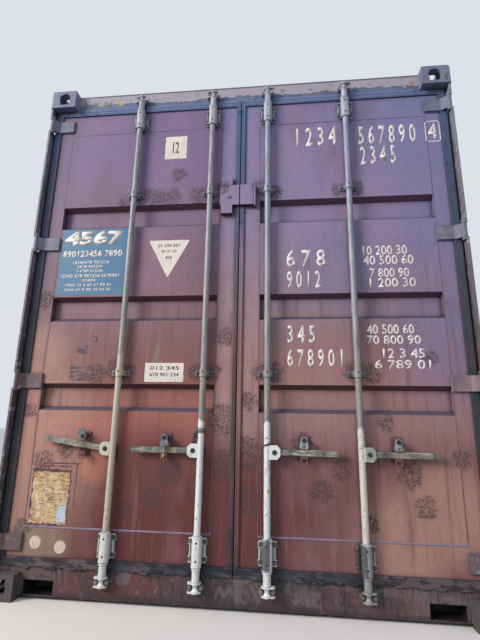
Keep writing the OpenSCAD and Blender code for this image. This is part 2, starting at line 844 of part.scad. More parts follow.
// Opening of the gasket lip on the face of the left leaf in x and z, with notches at the blades
module lip_opening() {
    x0 = -half_w + leaf_u + lip_on_leaf;
    x1 = -leaf_middle - lip_on_leaf;
    low = leaf_bottom + 28;
    high = leaf_top - 22;
    notch = blade_h + 2;
    translate([x0, low]) square([x1 - x0, high - low]);
    for (z = hinge_z) translate([-half_w, z - notch / 2]) square([leaf_u + lip_on_leaf + 1, notch]);
}

// The gasket of the left leaf: a face lip and a bulb round the edge of the leaf
module gasket() {
    x0 = -half_w + leaf_u;
    x1 = -leaf_middle;
    bulb_u = 24;
    bulb_back = leaf_back - 4;
    translate([0, lip_v + lip_t, 0]) rotate([90, 0, 0]) linear_extrude(lip_t) difference() {
        lip_outline();
        lip_opening();
    }
    difference() {
        block([x0 - bulb_u, lip_v + lip_t - eps, leaf_bottom - 5], [x1 + 6, bulb_back, leaf_top + 8]);
        block([x0 - 0.02, lip_v, leaf_bottom - 0.02], [x1 + 0.02, bulb_back + 1, leaf_top + 0.02]);
    }
}

// Outline of a hinge blade in u and v: a plate on the leaf, cranked out to the knuckle
module blade_outline() {
    plate_v = frame_v - blade_t;
    knuckle = knuckle_r - blade_gap / 2;
    crank_u = leaf_u + blade_t / 2;
    difference() {
        union() {
            polygon([
                [hinge_u, hinge_v], [hinge_u + blade_gap, hinge_v - blade_web],
                [crank_u, plate_v], [blade_end, plate_v], [blade_end, frame_v],
                [leaf_u + blade_gap, frame_v], [hinge_u + blade_gap, hinge_v + blade_web]
            ]);
            translate([hinge_u, hinge_v]) circle(knuckle);
        }
        translate([hinge_u, hinge_v]) circle(pin_r + 2 * pin_gap);
    }
}

// The four blades of the left leaf
module hinge_blades() {
    for (z = hinge_z) translate([-half_w, 0, z - blade_h / 2]) linear_extrude(blade_h) blade_outline();
}

// Outline of a bracket plate in x and z, cut in between its bolted corners
module bracket_plate_outline() {
    cut = 5;
    difference() {
        square([bracket_w, bracket_h], center = true);
        for (sx = [-1, 1]) {
            translate([sx * bracket_w / 2 - cut, -bracket_rib_h / 2]) square([2 * cut, bracket_rib_h]);
            translate([sx * bracket_w / 2, 0]) for (sz = [-1, 1]) polygon([
                [1, sz * (bracket_h / 2 + 1)], [-10, sz * (bracket_h / 2 + 1)], [1, sz * (bracket_h / 2 - 10)]
            ]);
        }
    }
}

// A round bar of radius r and height h, spread out across the container
module spread_cylinder(r, h) {
    half = sleeve_spread / 2;
    for (s = [-1, 1]) translate([s * half, 0, 0]) cylinder(r = r, h = h);
    translate([-half, -r, 0]) cube([2 * half, 2 * r, h]);
}

// A long sleeve that holds a bar in front of a bolted plate, with end collars and side flanges
module bar_bracket() {
    r = bar_r + sleeve_gap;
    web = r + sleeve_wall;
    seat_x = web - 1 + sleeve_spread / 2;
    collar_h = 9;
    flange_t = 4;
    flange_v = 20;
    flange_x = bracket_w / 2 - 9;
    difference() {
        union() {
            translate([0, frame_v, 0]) rotate([90, 0, 0]) linear_extrude(plate_t) bracket_plate_outline();
            translate([0, bar_v, -sleeve_h / 2]) spread_cylinder(web - 1, sleeve_h);
            for (z = [-sleeve_h / 2, sleeve_h / 2 - collar_h]) translate([0, bar_v, z])
                spread_cylinder(web, collar_h);
            block([-seat_x, bar_v, -bracket_h / 2], [seat_x, frame_v - plate_t / 2, bracket_h / 2]);
            for (s = [-1, 1]) block([s * flange_x - flange_t / 2, frame_v - flange_v, -bracket_rib_h / 2],
                                    [s * flange_x + flange_t / 2, frame_v - plate_t / 2, bracket_rib_h / 2]);
        }
        translate([0, bar_v, -bracket_h]) cylinder(r = r, h = 2 * bracket_h);
    }
}

// A middle guide: a strap round the bar with two bolted ears
module bar_guide() {
    r = bar_r + sleeve_gap;
    web = r + sleeve_wall;
    ear_h = 26;
    seat_h = 14;
    difference() {
        union() {
            block([-guide_w / 2, frame_v - plate_t, -ear_h / 2], [guide_w / 2, frame_v, ear_h / 2]);
            translate([0, bar_v, -guide_h / 2]) cylinder(r = web - 1, h = guide_h);
            translate([0, bar_v, -guide_h / 2]) cylinder(r = web, h = seat_h / 2);
            block([-web + 1, bar_v, -ear_h / 2], [web - 1, frame_v - plate_t / 2, ear_h / 2]);
        }
        translate([0, bar_v, -guide_h]) cylinder(r = r, h = 2 * guide_h);
    }
}

// The brackets and guides of both bars of a leaf
module bar_brackets(side) {
    for (x = bars(side)) translate([-x, 0, 0]) {
        for (z = bracket_z) translate([0, 0, z]) bar_bracket();
        for (z = guide_z) translate([0, 0, z]) bar_guide();
    }
}

// A handle catch: back plate, hasp boss, shelf under the handle and seal ring
module handle_catch() {
    half = 26;
    top = handle_z + hasp_up + 22;
    low = handle_z - 38;
    shelf_top = handle_z - handle_h / 2 - 2;
    ring_r = 15;
    wire_r = 3;
    block([-half, frame_v - plate_t, low], [half, frame_v, top]);
    block([-13, hasp_v, handle_z + hasp_up - 12], [13, frame_v - plate_t / 2, handle_z + hasp_up + 12]);
    translate([0, hasp_v + eps, handle_z + hasp_up]) rotate([90, 0, 0]) cylinder(r = 6, h = hasp_t + 3);
    block([-18, hasp_v + 3, shelf_top - 12], [18, frame_v - plate_t / 2, shelf_top]);
    translate([0, hasp_v + 7, shelf_top - 3 - wire_r - ring_r]) rotate([90, 0, 0])
        rotate_extrude() translate([ring_r, 0]) circle(r = wire_r);
}

// The catches of both handles of a leaf
module handle_catches(side) {
    for (i = [0, 1]) translate([-bars(side)[i] - catches(side)[i], 0, 0]) handle_catch();
}

// The half of the guard plate on the left leaf, between its two blocks
module guard_left() {
    plate_v = 26;
    block_x = 107;
    block_in = 42;
    stud_x = 62;
    stud_low = 10;
    block([-block_x, plate_v - 2, guard_z[1]], [-block_in, frame_v, guard_z[1] + guard_block_h[1]]);
    block([-block_x, plate_v - 2, guard_z[0] - guard_block_h[0]], [-block_in, frame_v, guard_z[0]]);
    block([-guard_w[0], plate_v, guard_z[0] - eps], [-guard_gap / 2, plate_v + plate_t, guard_z[1] + eps]);
    block([-guard_w[0], plate_v + plate_t - eps, guard_z[0]], [-block_in, frame_v, guard_z[1]]);
    translate([-stud_x, plate_v + eps, (guard_z[0] + guard_z[1]) / 2 - stud_low]) rotate([90, 0, 0])
        cylinder(r = 9, h = 7);
}

// The half of the guard plate on the right leaf, with its raised edge
module guard_right() {
    plate_v = 26;
    edge = 8;
    back_in = 42;
    block([guard_gap / 2, plate_v, guard_z[0]], [guard_w[1], plate_v + plate_t, guard_z[1]]);
    block([guard_w[1] - edge, plate_v - 10, guard_z[0] - 12], [guard_w[1], frame_v, guard_z[1]]);
    block([back_in, plate_v + plate_t - eps, guard_z[0]], [guard_w[1], frame_v, guard_z[1]]);
}

// A cam of height h: two flanges on a hollowed round waist, long side towards the hinge
module cam(z0, h) {
    half_v = 13;
    root_r = cam_waist + 8;
    translate([0, bar_v, z0]) {
        rotate_extrude() difference() {
            square([root_r, h]);
            translate([notch_x(h), h / 2]) circle(notch_r(h));
        }
        for (z = [0, h - cam_flange]) translate([0, 0, z]) linear_extrude(cam_flange) {
            translate([-cam_long + half_v, 0]) circle(half_v);
            translate([cam_short - half_v, 0]) circle(half_v);
            translate([-cam_long + half_v, -half_v]) square([cam_long + cam_short - 2 * half_v, 2 * half_v]);
        }
    }
}

// Outline of a hub plate in x and z, with its outer corners cut
module hub_outline(h) {
    reach = handle_pin + 29;
    cut = 16;
    polygon([
        [8, -h / 2], [8, h / 2], [-reach + cut, h / 2], [-reach, h / 2 - cut],
        [-reach, -h / 2 + cut], [-reach + cut, -h / 2]
    ]);
}

// A locking bar of the left leaf at its own axis, with cams, hub plates and handle pin
module lock_bar() {
    hub_h = 67;
    hub_t = 6;
    hub_gap = 2;
    front_v = bar_v - handle_t / 2 - hub_gap - hub_t;
    back_v = bar_v + handle_t / 2 + hub_gap;
    flange_r = 21.4;
    flange_h = 9;
    tube_low = bar_bottom + cam_h[0];
    tube_high = bar_top - cam_h[1];
    shank_low = bracket_z[0] - sleeve_h / 2 - 2 - tube_low;
    shank_high = tube_high - bracket_z[1] - sleeve_h / 2 - 2;
    difference() {
        translate([0, bar_v, tube_low - cam_flange / 2]) {
            cylinder(r = bar_r, h = tube_high - tube_low + cam_flange);
            cylinder(r = cam_shank_r, h = shank_low + cam_flange / 2);
            translate([0, 0, shank_low + cam_flange / 2 - flange_h]) cylinder(r = flange_r, h = flange_h);
            translate([0, 0, tube_high - shank_high - tube_low + cam_flange / 2])
                cylinder(r = cam_shank_r, h = shank_high + cam_flange / 2);
        }
        translate([0, bar_v, tube_low]) cylinder(r = bar_r - bar_wall, h = tube_high - tube_low);
    }
    cam(bar_bottom, cam_h[0]);
    cam(tube_high, cam_h[1]);
    for (v = [front_v, back_v]) difference() {
        translate([0, v + hub_t, handle_z]) rotate([90, 0, 0]) linear_extrude(hub_t) hub_outline(hub_h);
        translate([0, bar_v, handle_z - hub_h]) cylinder(r = bar_r - bar_wall / 2, h = 2 * hub_h);
    }
    translate([-handle_pin, back_v + hub_t + 3, handle_z]) rotate([90, 0, 0])
        cylinder(r = handle_pin_r, h = back_v + hub_t + 6 - front_v);
}

// A handle of length l of the left leaf with its pin at the origin, pointing to the hinges
module handle(l) {
    half = handle_h / 2;
    tip_cut = 7;
    translate([0, handle_t / 2, 0]) rotate([90, 0, 0]) linear_extrude(handle_t) difference() {
        union() {
            circle(half + 2);
            polygon([
                [0, -half + 2], [0, half - 2], [-l / 2, half], [-l + tip_cut, half - 1],
                [-l, half - tip_cut], [-l, -half + tip_cut], [-l + tip_cut, -half + 1], [-l / 2, -half]
            ]);
        }
        circle(handle_pin_r + 0.4);
    }
}

// A hasp of the left leaf with its rivet at the origin, hanging down
module hasp() {
    rivet_bore = 6.3;
    half = 17;
    foot = 22;
    drop = hasp_up - handle_h / 2 - 5;
    rotate([90, 0, 0]) linear_extrude(hasp_t) difference() {
        union() {
            circle(half);
            polygon([
                [half - 1, 2], [-half + 1, 2], [-foot, -drop + 8], [-foot + 6, -drop],
                [foot - 6, -drop], [foot, -drop + 8]
            ]);
        }
        circle(rivet_bore);
        translate([0, -drop + 10]) circle(5);
    }
}

// Puts a left leaf shape at its place, mirrored for the right leaf
module on_door(side) {
    on_side(side) translate([0, end_y, 0]) children();
}

// Bar numbers run 1 to 4 from left to right
function bar_side(i) = i <= 2 ? -1 : 1;
function bar_order(i) = (i == 1 || i == 4) ? 1 : 0;
function bar_place(i) = bars(bar_side(i))[bar_order(i)];

module numbered_bar(i) {
    color(steel) on_door(bar_side(i)) translate([-bar_place(i), 0, 0]) lock_bar();
}
module numbered_handle(i) {
    lift = i == 1 ? handle_1_lift : 0;
    color(steel) on_door(bar_side(i)) translate([-bar_place(i) - handle_pin, bar_v, handle_z])
        rotate([0, lift, 0]) handle(handle_lengths(bar_side(i))[bar_order(i)]);
}
module numbered_hasp(i) {
    turn = i == 1 ? hasp_1_turn : 0;
    place = bar_place(i) + catches(bar_side(i))[bar_order(i)];
    color(steel) on_door(bar_side(i))
        translate([-place, hasp_v - 0.3, handle_z + hasp_up]) rotate([0, turn, 0]) hasp();
}

castings_top();  // top_castings
castings_bottom();  // bottom_castings
rear_post(-1);  // rear_post_left
rear_post(1);  // rear_post_right
front_post(-1);  // front_post_left
front_post(1);  // front_post_right
door_header();
door_sill();
front_header();
front_sill();
top_rail_tube(-1);  // top_rail_left
top_rail_tube(1);  // top_rail_right
bottom_rail_channel(-1);  // bottom_rail_left
bottom_rail_channel(1);  // bottom_rail_right
side_wall(-1);  // side_wall_left
side_wall(1);  // side_wall_right
front_wall();
roof();
floor_boards();  // floor
cross_members();
gooseneck_tunnel();
hinge_pins();
cam_keepers();
ventilators();
color(paint) on_door(-1) door_frame();  // door_frame_left
color(paint) on_door(1) door_frame();  // door_frame_right
color(paint) on_door(-1) door_panel();  // door_panel_left
color(paint) on_door(1) door_panel();  // door_panel_right
color(rubber) on_door(-1) gasket();  // gasket_left
color(rubber) on_door(1) gasket();  // gasket_right
color(paint) on_door(-1) hinge_blades();  // hinge_blades_left
color(paint) on_door(1) hinge_blades();  // hinge_blades_right
color(steel) on_door(-1) bar_brackets(-1);  // bar_brackets_left
color(steel) on_door(1) bar_brackets(1);  // bar_brackets_right
color(steel) on_door(-1) handle_catches(-1);  // handle_catches_left
color(steel) on_door(1) handle_catches(1);  // handle_catches_right
color(paint) translate([0, end_y, 0]) guard_left();  // guard_plate_left
color(paint) translate([0, end_y, 0]) guard_right();  // guard_plate_right
numbered_bar(1);  // lock_bar_1
numbered_bar(2);  // lock_bar_2
numbered_bar(3);  // lock_bar_3
numbered_bar(4);  // lock_bar_4
numbered_handle(1);  // handle_1
numbered_handle(2);  // handle_2
numbered_handle(3);  // handle_3
numbered_handle(4);  // handle_4
numbered_hasp(1);  // hasp_1
numbered_hasp(2);  // hasp_2
numbered_hasp(3);  // hasp_3
numbered_hasp(4);  // hasp_4
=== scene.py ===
"""Forty foot high cube shipping container, closed, seen from the ground at its door end.

The steel frame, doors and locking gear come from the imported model. This script gives them
their weathered finishes and adds bolts, welds, gasket ribs, worn marks and digits.
"""
import math
import random

import bpy
from mathutils import Matrix, Vector


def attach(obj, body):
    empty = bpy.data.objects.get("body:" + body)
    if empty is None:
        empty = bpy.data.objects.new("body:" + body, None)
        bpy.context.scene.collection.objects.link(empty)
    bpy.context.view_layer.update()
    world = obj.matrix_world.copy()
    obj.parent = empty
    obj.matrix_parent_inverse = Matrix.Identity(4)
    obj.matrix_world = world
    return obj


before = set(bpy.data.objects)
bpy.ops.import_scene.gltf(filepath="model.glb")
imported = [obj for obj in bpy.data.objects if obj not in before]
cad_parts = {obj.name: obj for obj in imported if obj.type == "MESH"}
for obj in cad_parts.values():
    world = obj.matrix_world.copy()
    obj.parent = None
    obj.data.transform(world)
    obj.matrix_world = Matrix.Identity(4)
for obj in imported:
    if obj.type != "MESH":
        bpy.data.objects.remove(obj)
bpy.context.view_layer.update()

DOOR_END = -6.096
DOOR_FACE = 54.0
LEFT, RIGHT = -1, 1
SIDES = {LEFT: "left", RIGHT: "right"}
BAR_X = {1: -626.0, 2: -172.0, 3: 161.0, 4: 614.0}
BRACKET_Z = (256.0, 2666.0)
GUIDE_Z = (1100.0, 2152.0)
HANDLE_Z = 713.0
HINGE_Z = (254.0, 1057.0, 1860.0, 2663.0)
HANDLE_PIN = 36.0
HASP_Z = 773.0
CATCH_X = {1: -786.0, 2: -356.0, 3: 341.0, 4: 785.0}
LEAF_BARS = {LEFT: (1, 2), RIGHT: (3, 4)}
GASKET_LOW, GASKET_HIGH = 152, 2766
LIP_PROUD = 8.0
RAMP_TOP = 2.9
CAMERA_AT = (0.2612, -8.2627, 0.8364)
CAMERA_TURN = (-6.402, 13.923, 1.022)
LAMP_AT = (-10.0, -13.2, 7.0)
LAMP_AIM = (0, DOOR_END, 1.3)


def metres(x, v, z):
    """A point from x and z in mm and the depth v in mm behind the door end plane."""
    return Vector((x / 1000, DOOR_END + v / 1000, z / 1000))


# camera and studio

def place_camera():
    """A phone held low in front of the doors, looking up at them."""
    yaw, pitch, roll = (math.radians(a) for a in CAMERA_TURN)
    ahead = Vector((math.sin(yaw) * math.cos(pitch), math.cos(yaw) * math.cos(pitch), math.sin(pitch)))
    level = Vector((math.cos(yaw), -math.sin(yaw), 0))
    up = level.cross(ahead)
    right = math.cos(roll) * level + math.sin(roll) * up
    top = -math.sin(roll) * level + math.cos(roll) * up
    data = bpy.data.cameras.new("camera")
    data.sensor_fit = "AUTO"
    data.sensor_width = 36.0
    data.lens = 24.02
    data.clip_end = 200.0
    camera = bpy.data.objects.new("camera", data)
    turn = Matrix((right, top, -ahead)).transposed().to_4x4()
    camera.matrix_world = Matrix.Translation(CAMERA_AT) @ turn
    bpy.context.scene.collection.objects.link(camera)
    bpy.context.scene.camera = camera


def linear(code):
    """A sRGB hex colour as linear red, green, blue and alpha."""
    parts = [int(code[i:i + 2], 16) / 255 for i in (1, 3, 5)]
    return [p / 12.92 if p <= 0.04045 else ((p + 0.055) / 1.055) ** 2.4 for p in parts] + [1.0]


def add(tree, kind, links=None, **settings):
    """Adds a node, sets its properties, and sets or links its inputs."""
    node = tree.nodes.new("ShaderNode" + kind)
    for name, value in settings.items():
        setattr(node, name, value)
    for key, value in (links or {}).items():
        if isinstance(value, bpy.types.NodeSocket):
            tree.links.new(value, node.inputs[key])
        else:
            node.inputs[key].default_value = value
    return node


def pale_to_the_eye(tree, plain, seen):
    """The seen colour for the camera, mirrors and glass, and the plain one for all other light."""
    path = add(tree, "LightPath")
    glossy = add(tree, "Math", {0: path.outputs["Is Camera Ray"], 1: path.outputs["Is Glossy Ray"]},
                 operation="MAXIMUM")
    any_ray = add(tree, "Math", {0: glossy.outputs[0], 1: path.outputs["Is Transmission Ray"]},
                  operation="MAXIMUM")
    return add(tree, "Mix", {0: any_ray.outputs[0], 6: linear(plain), 7: linear(seen)},
               data_type="RGBA").outputs[2]


def build_studio():
    """A pale floor and sky, with one large soft light high to the left, whose beam is kept on the doors."""
    world = bpy.data.worlds.new("studio")
    bpy.context.scene.world = world
    world.use_nodes = True
    tree = world.node_tree
    tree.nodes.clear()
    sky = add(tree, "Background", {"Color": pale_to_the_eye(tree, "#dfe6f2", "#e3e8ee"), "Strength": 0.94})
    add(tree, "OutputWorld", {"Surface": sky.outputs[0]})

    start()
    bpy.ops.mesh.primitive_plane_add(size=90, location=(0, 0, 0))
    floor = bpy.context.object
    floor.name = "studio_floor"
    cover = bpy.data.materials.new("studio_floor")
    cover.use_nodes = True
    tree = cover.node_tree
    tree.nodes.clear()
    matt = add(tree, "BsdfDiffuse", {"Color": pale_to_the_eye(tree, "#7a7672", "#dcdbd9")})
    add(tree, "OutputMaterial", {"Surface": matt.outputs[0]})
    floor.data.materials.append(cover)

    lamp = bpy.data.lights.new("soft_key", "AREA")
    lamp.shape = "RECTANGLE"
    lamp.size, lamp.size_y = 5.0, 4.0
    lamp.energy = 545.0
    lamp.spread = math.radians(100)
    lamp.color = linear("#fff6ea")[:3]
    key = bpy.data.objects.new("soft_key", lamp)
    aim = Vector(LAMP_AIM) - Vector(LAMP_AT)
    key.matrix_world = Matrix.Translation(LAMP_AT) @ aim.to_track_quat("-Z", "Y").to_matrix().to_4x4()
    bpy.context.scene.collection.objects.link(key)


# modelling helpers

def start():
    """Leaves nothing selected and no edit mode open."""
    if bpy.context.object and bpy.context.object.mode != "OBJECT":
        bpy.ops.object.mode_set(mode="OBJECT")
    bpy.ops.object.select_all(action="DESELECT")


def only(*objects):
    """Selects these objects and makes the first one active."""
    start()
    for obj in objects:
        obj.select_set(True)
    bpy.context.view_layer.objects.active = objects[0]


def settle(obj):
    """Puts the place, turn and scale of an object into its mesh."""
    only(obj)
    bpy.ops.object.transform_apply(location=True, rotation=True, scale=True)
    return obj


def finish_with(obj, kind, **settings):
    """Adds a modifier and applies it."""
    only(obj)
    modifier = obj.modifiers.new(kind.lower(), kind)
    for name, value in settings.items():
        setattr(modifier, name, value)
    bpy.ops.object.modifier_apply(modifier=modifier.name)
    return obj


def eased(obj, width, segments=2):
    """Bevels the sharp edges by a width in mm."""
    return finish_with(obj, "BEVEL", width=width / 1000, segments=segments, limit_method="ANGLE")


def join(*objects):
    """Joins the objects into the first one."""
    only(*objects)
    if len(objects) > 1:
        bpy.ops.object.join()
    return bpy.context.object


def copies(master, places):
    """Copies of one modelled master at places in x, v and z, joined, with the master removed."""
    made = []
    for place in places:
        copy = master.copy()
        copy.data = master.data.copy()
        copy.location = metres(*place)
        bpy.context.scene.collection.objects.link(copy)
        settle(copy)
        made.append(copy)
    bpy.data.objects.remove(master)
    return join(*made)


def piece(obj, name, body, material):
    """Names a finished piece, gives it its finish and the body that carries it."""
    settle(obj)
    obj.name = name
    obj.data.name = name
    obj.data.materials.clear()
    obj.data.materials.append(material)
    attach(obj, body)
    return obj


def smooth(obj, angle=35):
    """Shades smooth where faces meet at less than an angle in degrees."""
    only(obj)
    bpy.ops.object.shade_smooth_by_angle(angle=math.radians(angle))
    return obj


def block(low, high, bevel=0.0, segments=2):
    """A bevelled block between two corners in x, v and z."""
    a, b = metres(*map(min, low, high)), metres(*map(max, low, high))
    start()
    bpy.ops.mesh.primitive_cube_add(size=1, location=(a + b) / 2)
    obj = bpy.context.object
    obj.scale = b - a
    settle(obj)
    if bevel:
        eased(obj, bevel, segments)
    return obj


def round_bar(a, b, radius, sides=16):
    """A round bar between two points in x, v and z."""
    a, b = metres(*a), metres(*b)
    start()
    bpy.ops.mesh.primitive_cylinder_add(vertices=sides, radius=radius / 1000, depth=(b - a).length)
    obj = bpy.context.object
    obj.matrix_world = Matrix.Translation((a + b) / 2) @ (b - a).to_track_quat("Z", "X").to_matrix().to_4x4()
    return settle(obj)


def bead(a, b, width, proud, seed, step=14.0):
    """A weld bead: a flat round bar between two points, rippled along its length."""
    run = (Vector(b) - Vector(a)).length
    bar = round_bar(a, b, width / 2, 6)
    only(bar)
    bpy.ops.object.mode_set(mode="EDIT")
    bpy.ops.mesh.select_all(action="DESELECT")
    bpy.ops.object.mode_set(mode="OBJECT")
    way = (metres(*b) - metres(*a)).normalized()
    for edge in bar.data.edges:
        p, q = (bar.data.vertices[i].co for i in edge.vertices)
        edge.select = (p - q).length > run / 2000
    bpy.ops.object.mode_set(mode="EDIT")
    bpy.ops.mesh.subdivide(number_cuts=max(2, int(run / step)))
    bpy.ops.object.mode_set(mode="OBJECT")
    draw = random.Random(seed)
    first, middle = metres(*a), {}
    for vertex in bar.data.vertices:
        along = (vertex.co - first).dot(way)
        centre = first + way * along
        ring = round(along * 1000)
        if ring not in middle:
            middle[ring] = 0.85 + 0.3 * draw.random()
        out = (vertex.co - centre) * middle[ring]
        out.y *= 2 * proud / width
        vertex.co = centre + out
    return bar


def to_origin(obj):
    """Moves a master modelled with metres() so that its origin is at x, v, z = 0, 0, 0."""
    only(obj)
    bpy.ops.transform.translate(value=(0, -DOOR_END, 0))
    return settle(obj)


def shaken(obj, draw, reach):
    """Moves the corners of a small piece about by up to reach in mm."""
    for vertex in obj.data.vertices:
        vertex.co.x += draw.uniform(-reach, reach) / 1000
        vertex.co.z += draw.uniform(-reach, reach) / 1000
    return obj


def wire(points, radius):
    """A bent wire through points in x, v and z."""
    curve = bpy.data.curves.new("wire", "CURVE")
    curve.dimensions = "3D"
    curve.bevel_depth = radius / 1000
    curve.bevel_resolution = 2
    curve.resolution_u = 6
    curve.use_fill_caps = True
    spline = curve.splines.new("BEZIER")
    spline.bezier_points.add(len(points) - 1)
    for knot, point in zip(spline.bezier_points, points):
        knot.co = metres(*point)
        knot.handle_left_type = knot.handle_right_type = "AUTO"
    obj = bpy.data.objects.new("wire", curve)
    bpy.context.scene.collection.objects.link(obj)
    only(obj)
    bpy.ops.object.convert(target="MESH")
    return bpy.context.object


def ring(place, radius, thick, turn=(math.pi / 2, 0, 0), segments=24):
    """A ring of round wire at a place in x, v and z, facing out of the doors unless turned."""
    start()
    bpy.ops.mesh.primitive_torus_add(major_radius=radius / 1000, minor_radius=thick / 1000,
                                     major_segments=segments, minor_segments=8,
                                     location=metres(*place), rotation=turn)
    return settle(bpy.context.object)


def ring_round_bar(x, z, radius, thick, tilt):
    """A ring of wire round a locking bar."""
    return ring((x, 22, z), radius, thick, (tilt, -tilt, 0), 32)


# finishes

def new_finish(name):
    """An empty material with its Object coordinates in metres, ready for its nodes."""
    material = bpy.data.materials.new(name)
    material.use_nodes = True
    tree = material.node_tree
    tree.nodes.clear()
    return material, tree, add(tree, "TexCoord").outputs["Object"]


def patches(tree, coords, under, over, size, low, high, amount=1.0, stretch=(1, 1, 1), shift=0.0, detail=6.0,
            within=None):
    """A colour laid in patches of a size in mm over another. Gives the colour and the mask."""
    place = add(tree, "Mapping", {"Vector": coords, "Location": (shift, shift * 0.7, shift * 1.3),
                                  "Scale": stretch})
    noise = add(tree, "TexNoise", {"Vector": place.outputs[0], "Scale": 1000 / size, "Detail": detail,
                                   "Roughness": 0.6})
    mask = add(tree, "MapRange", {"Value": noise.outputs["Fac"], "From Min": low, "From Max": high,
                                  "To Max": amount}, interpolation_type="SMOOTHSTEP").outputs[0]
    if within:
        mask = product(tree, mask, within)
    mixed = add(tree, "Mix", {0: mask, 6: under, 7: linear(over)}, data_type="RGBA")
    return mixed.outputs[2], mask


def laid_over(tree, under, over, mask, amount=1.0):
    """A colour, a hex code or a socket, over another by a mask."""
    part = add(tree, "Math", {0: mask, 1: amount}, operation="MULTIPLY", use_clamp=True)
    top = linear(over) if isinstance(over, str) else over
    return add(tree, "Mix", {0: part.outputs[0], 6: under, 7: top}, data_type="RGBA").outputs[2]


def product(tree, *masks):
    """Masks multiplied together."""
    result = masks[0]
    for mask in masks[1:]:
        result = add(tree, "Math", {0: result, 1: mask}, operation="MULTIPLY").outputs[0]
    return result


def band(tree, coords, axis, low, high, soft=0.05):
    """A mask that is 1 between two places on an axis in metres and fades out over soft."""
    split = add(tree, "SeparateXYZ", {0: coords}).outputs[axis]
    rise = add(tree, "MapRange", {"Value": split, "From Min": low - soft, "From Max": low + soft},
               interpolation_type="SMOOTHSTEP").outputs[0]
    fall = add(tree, "MapRange", {"Value": split, "From Min": high - soft, "From Max": high + soft,
                                  "To Min": 1.0, "To Max": 0.0},
               interpolation_type="SMOOTHSTEP").outputs[0]
    return product(tree, rise, fall)


def near(tree, coords, places, reach):
    """A mask that is 1 at the places, in mm on the door, and fades out within reach in mm."""
    result = None
    for x, z, size in places:
        far = add(tree, "VectorMath", {0: coords, 1: metres(x, DOOR_FACE, z)}, operation="DISTANCE")
        fade = add(tree, "MapRange", {"Value": far.outputs["Value"], "From Min": reach * size / 3000,
                                      "From Max": reach * size / 1000, "To Min": 1.0, "To Max": 0.0},
                   interpolation_type="SMOOTHSTEP").outputs[0]
        result = fade if result is None else add(tree, "Math", {0: result, 1: fade},
                                                 operation="MAXIMUM").outputs[0]
    return result


def ragged(tree, coords, where, size, low, high):
    """A mask with torn edges, where a fading mask with a noise of a size in mm on it comes above low."""
    noise = add(tree, "TexNoise", {"Vector": coords, "Scale": 1000 / size, "Detail": 6.0, "Roughness": 0.75})
    total = add(tree, "Math", {0: where, 1: 0.25, 2: noise.outputs["Fac"]}, operation="MULTIPLY_ADD")
    return add(tree, "MapRange", {"Value": total.outputs[0], "From Min": low, "From Max": high}).outputs[0]


def wandering(tree, coords, scale, detail, reach):
    """Coordinates moved about by a noise, by a reach in metres for each axis."""
    noise = add(tree, "TexNoise", {"Vector": coords, "Scale": scale, "Detail": detail})
    return add(tree, "VectorMath", {0: noise.outputs["Color"], 1: reach, 2: coords},
               operation="MULTIPLY_ADD").outputs[0]


def coats(tree, coords, colour, rows):
    """Patches laid one after another, each row as patches takes it from its second colour on."""
    for row in rows:
        colour, _ = patches(tree, coords, colour, *row)
    return colour


def tinted(tree, coords, colour, rows):
    """Tints laid at places, each row with the places, their reach in mm, a colour and an amount."""
    for places, reach, code, amount in rows:
        colour = laid_over(tree, colour, code, near(tree, coords, places, reach), amount)
    return colour


def facing(tree, low, high):
    """A mask from how much a face looks up: 0 below low and 1 above high, both from -1 to 1."""
    normal = add(tree, "NewGeometry").outputs["Normal"]
    up = add(tree, "SeparateXYZ", {0: normal}).outputs[2]
    return add(tree, "MapRange", {"Value": up, "From Min": low, "From Max": high},
               interpolation_type="SMOOTHSTEP").outputs[0]


def edges(tree, radius, low=0.02, high=0.25):
    """A mask for worn edges, from how far a rounded normal leans off the true one, and that normal."""
    soft = add(tree, "Bevel", {"Radius": radius / 1000}, samples=4).outputs[0]
    true = add(tree, "NewGeometry").outputs["True Normal"]
    lean = add(tree, "VectorMath", {0: soft, 1: true}, operation="DOT_PRODUCT").outputs["Value"]
    mask = add(tree, "MapRange", {"Value": lean, "From Min": 1 - low, "From Max": 1 - high}).outputs[0]
    return mask, soft


def corner_shade_and_grime(tree, reach, low=0.35, high=0.8):
    """A mask for painted shade and grime, 1 in corners and gaps, from the light that reaches them within reach in
    mm.
    """
    light = add(tree, "AmbientOcclusion", {"Distance": reach / 1000}, samples=6).outputs["AO"]
    return add(tree, "MapRange", {"Value": light, "From Min": low, "From Max": high, "To Min": 1.0,
                                  "To Max": 0.0}).outputs[0]


def surface(tree, colour, coords, grain, depth, rough=0.6, metal=0.0, specular=0.5, raised=None, raise_by=0.0,
            normal=None, rough_mask=None, rough_to=0.8):
    """Closes a material: grain in mm, its depth, and any raised mask, in its bump."""
    noise = add(tree, "TexNoise", {"Vector": coords, "Scale": 1000 / grain, "Detail": 4.0})
    links = {"Height": noise.outputs["Fac"], "Strength": 0.6, "Distance": depth / 1000}
    if normal:
        links["Normal"] = normal
    bump = add(tree, "Bump", links).outputs[0]
    if raised:
        bump = add(tree, "Bump", {"Height": raised, "Strength": 0.8, "Distance": raise_by / 1000,
                                  "Normal": bump}).outputs[0]
    shader = add(tree, "BsdfPrincipled", {"Base Color": colour, "Roughness": rough, "Metallic": metal,
                                          "Normal": bump, "Specular IOR Level": specular})
    if rough_mask:
        fade = add(tree, "MapRange", {"Value": rough_mask, "To Min": rough, "To Max": rough_to})
        tree.links.new(fade.outputs[0], shader.inputs["Roughness"])
    add(tree, "OutputMaterial", {"Surface": shader.outputs[0]})


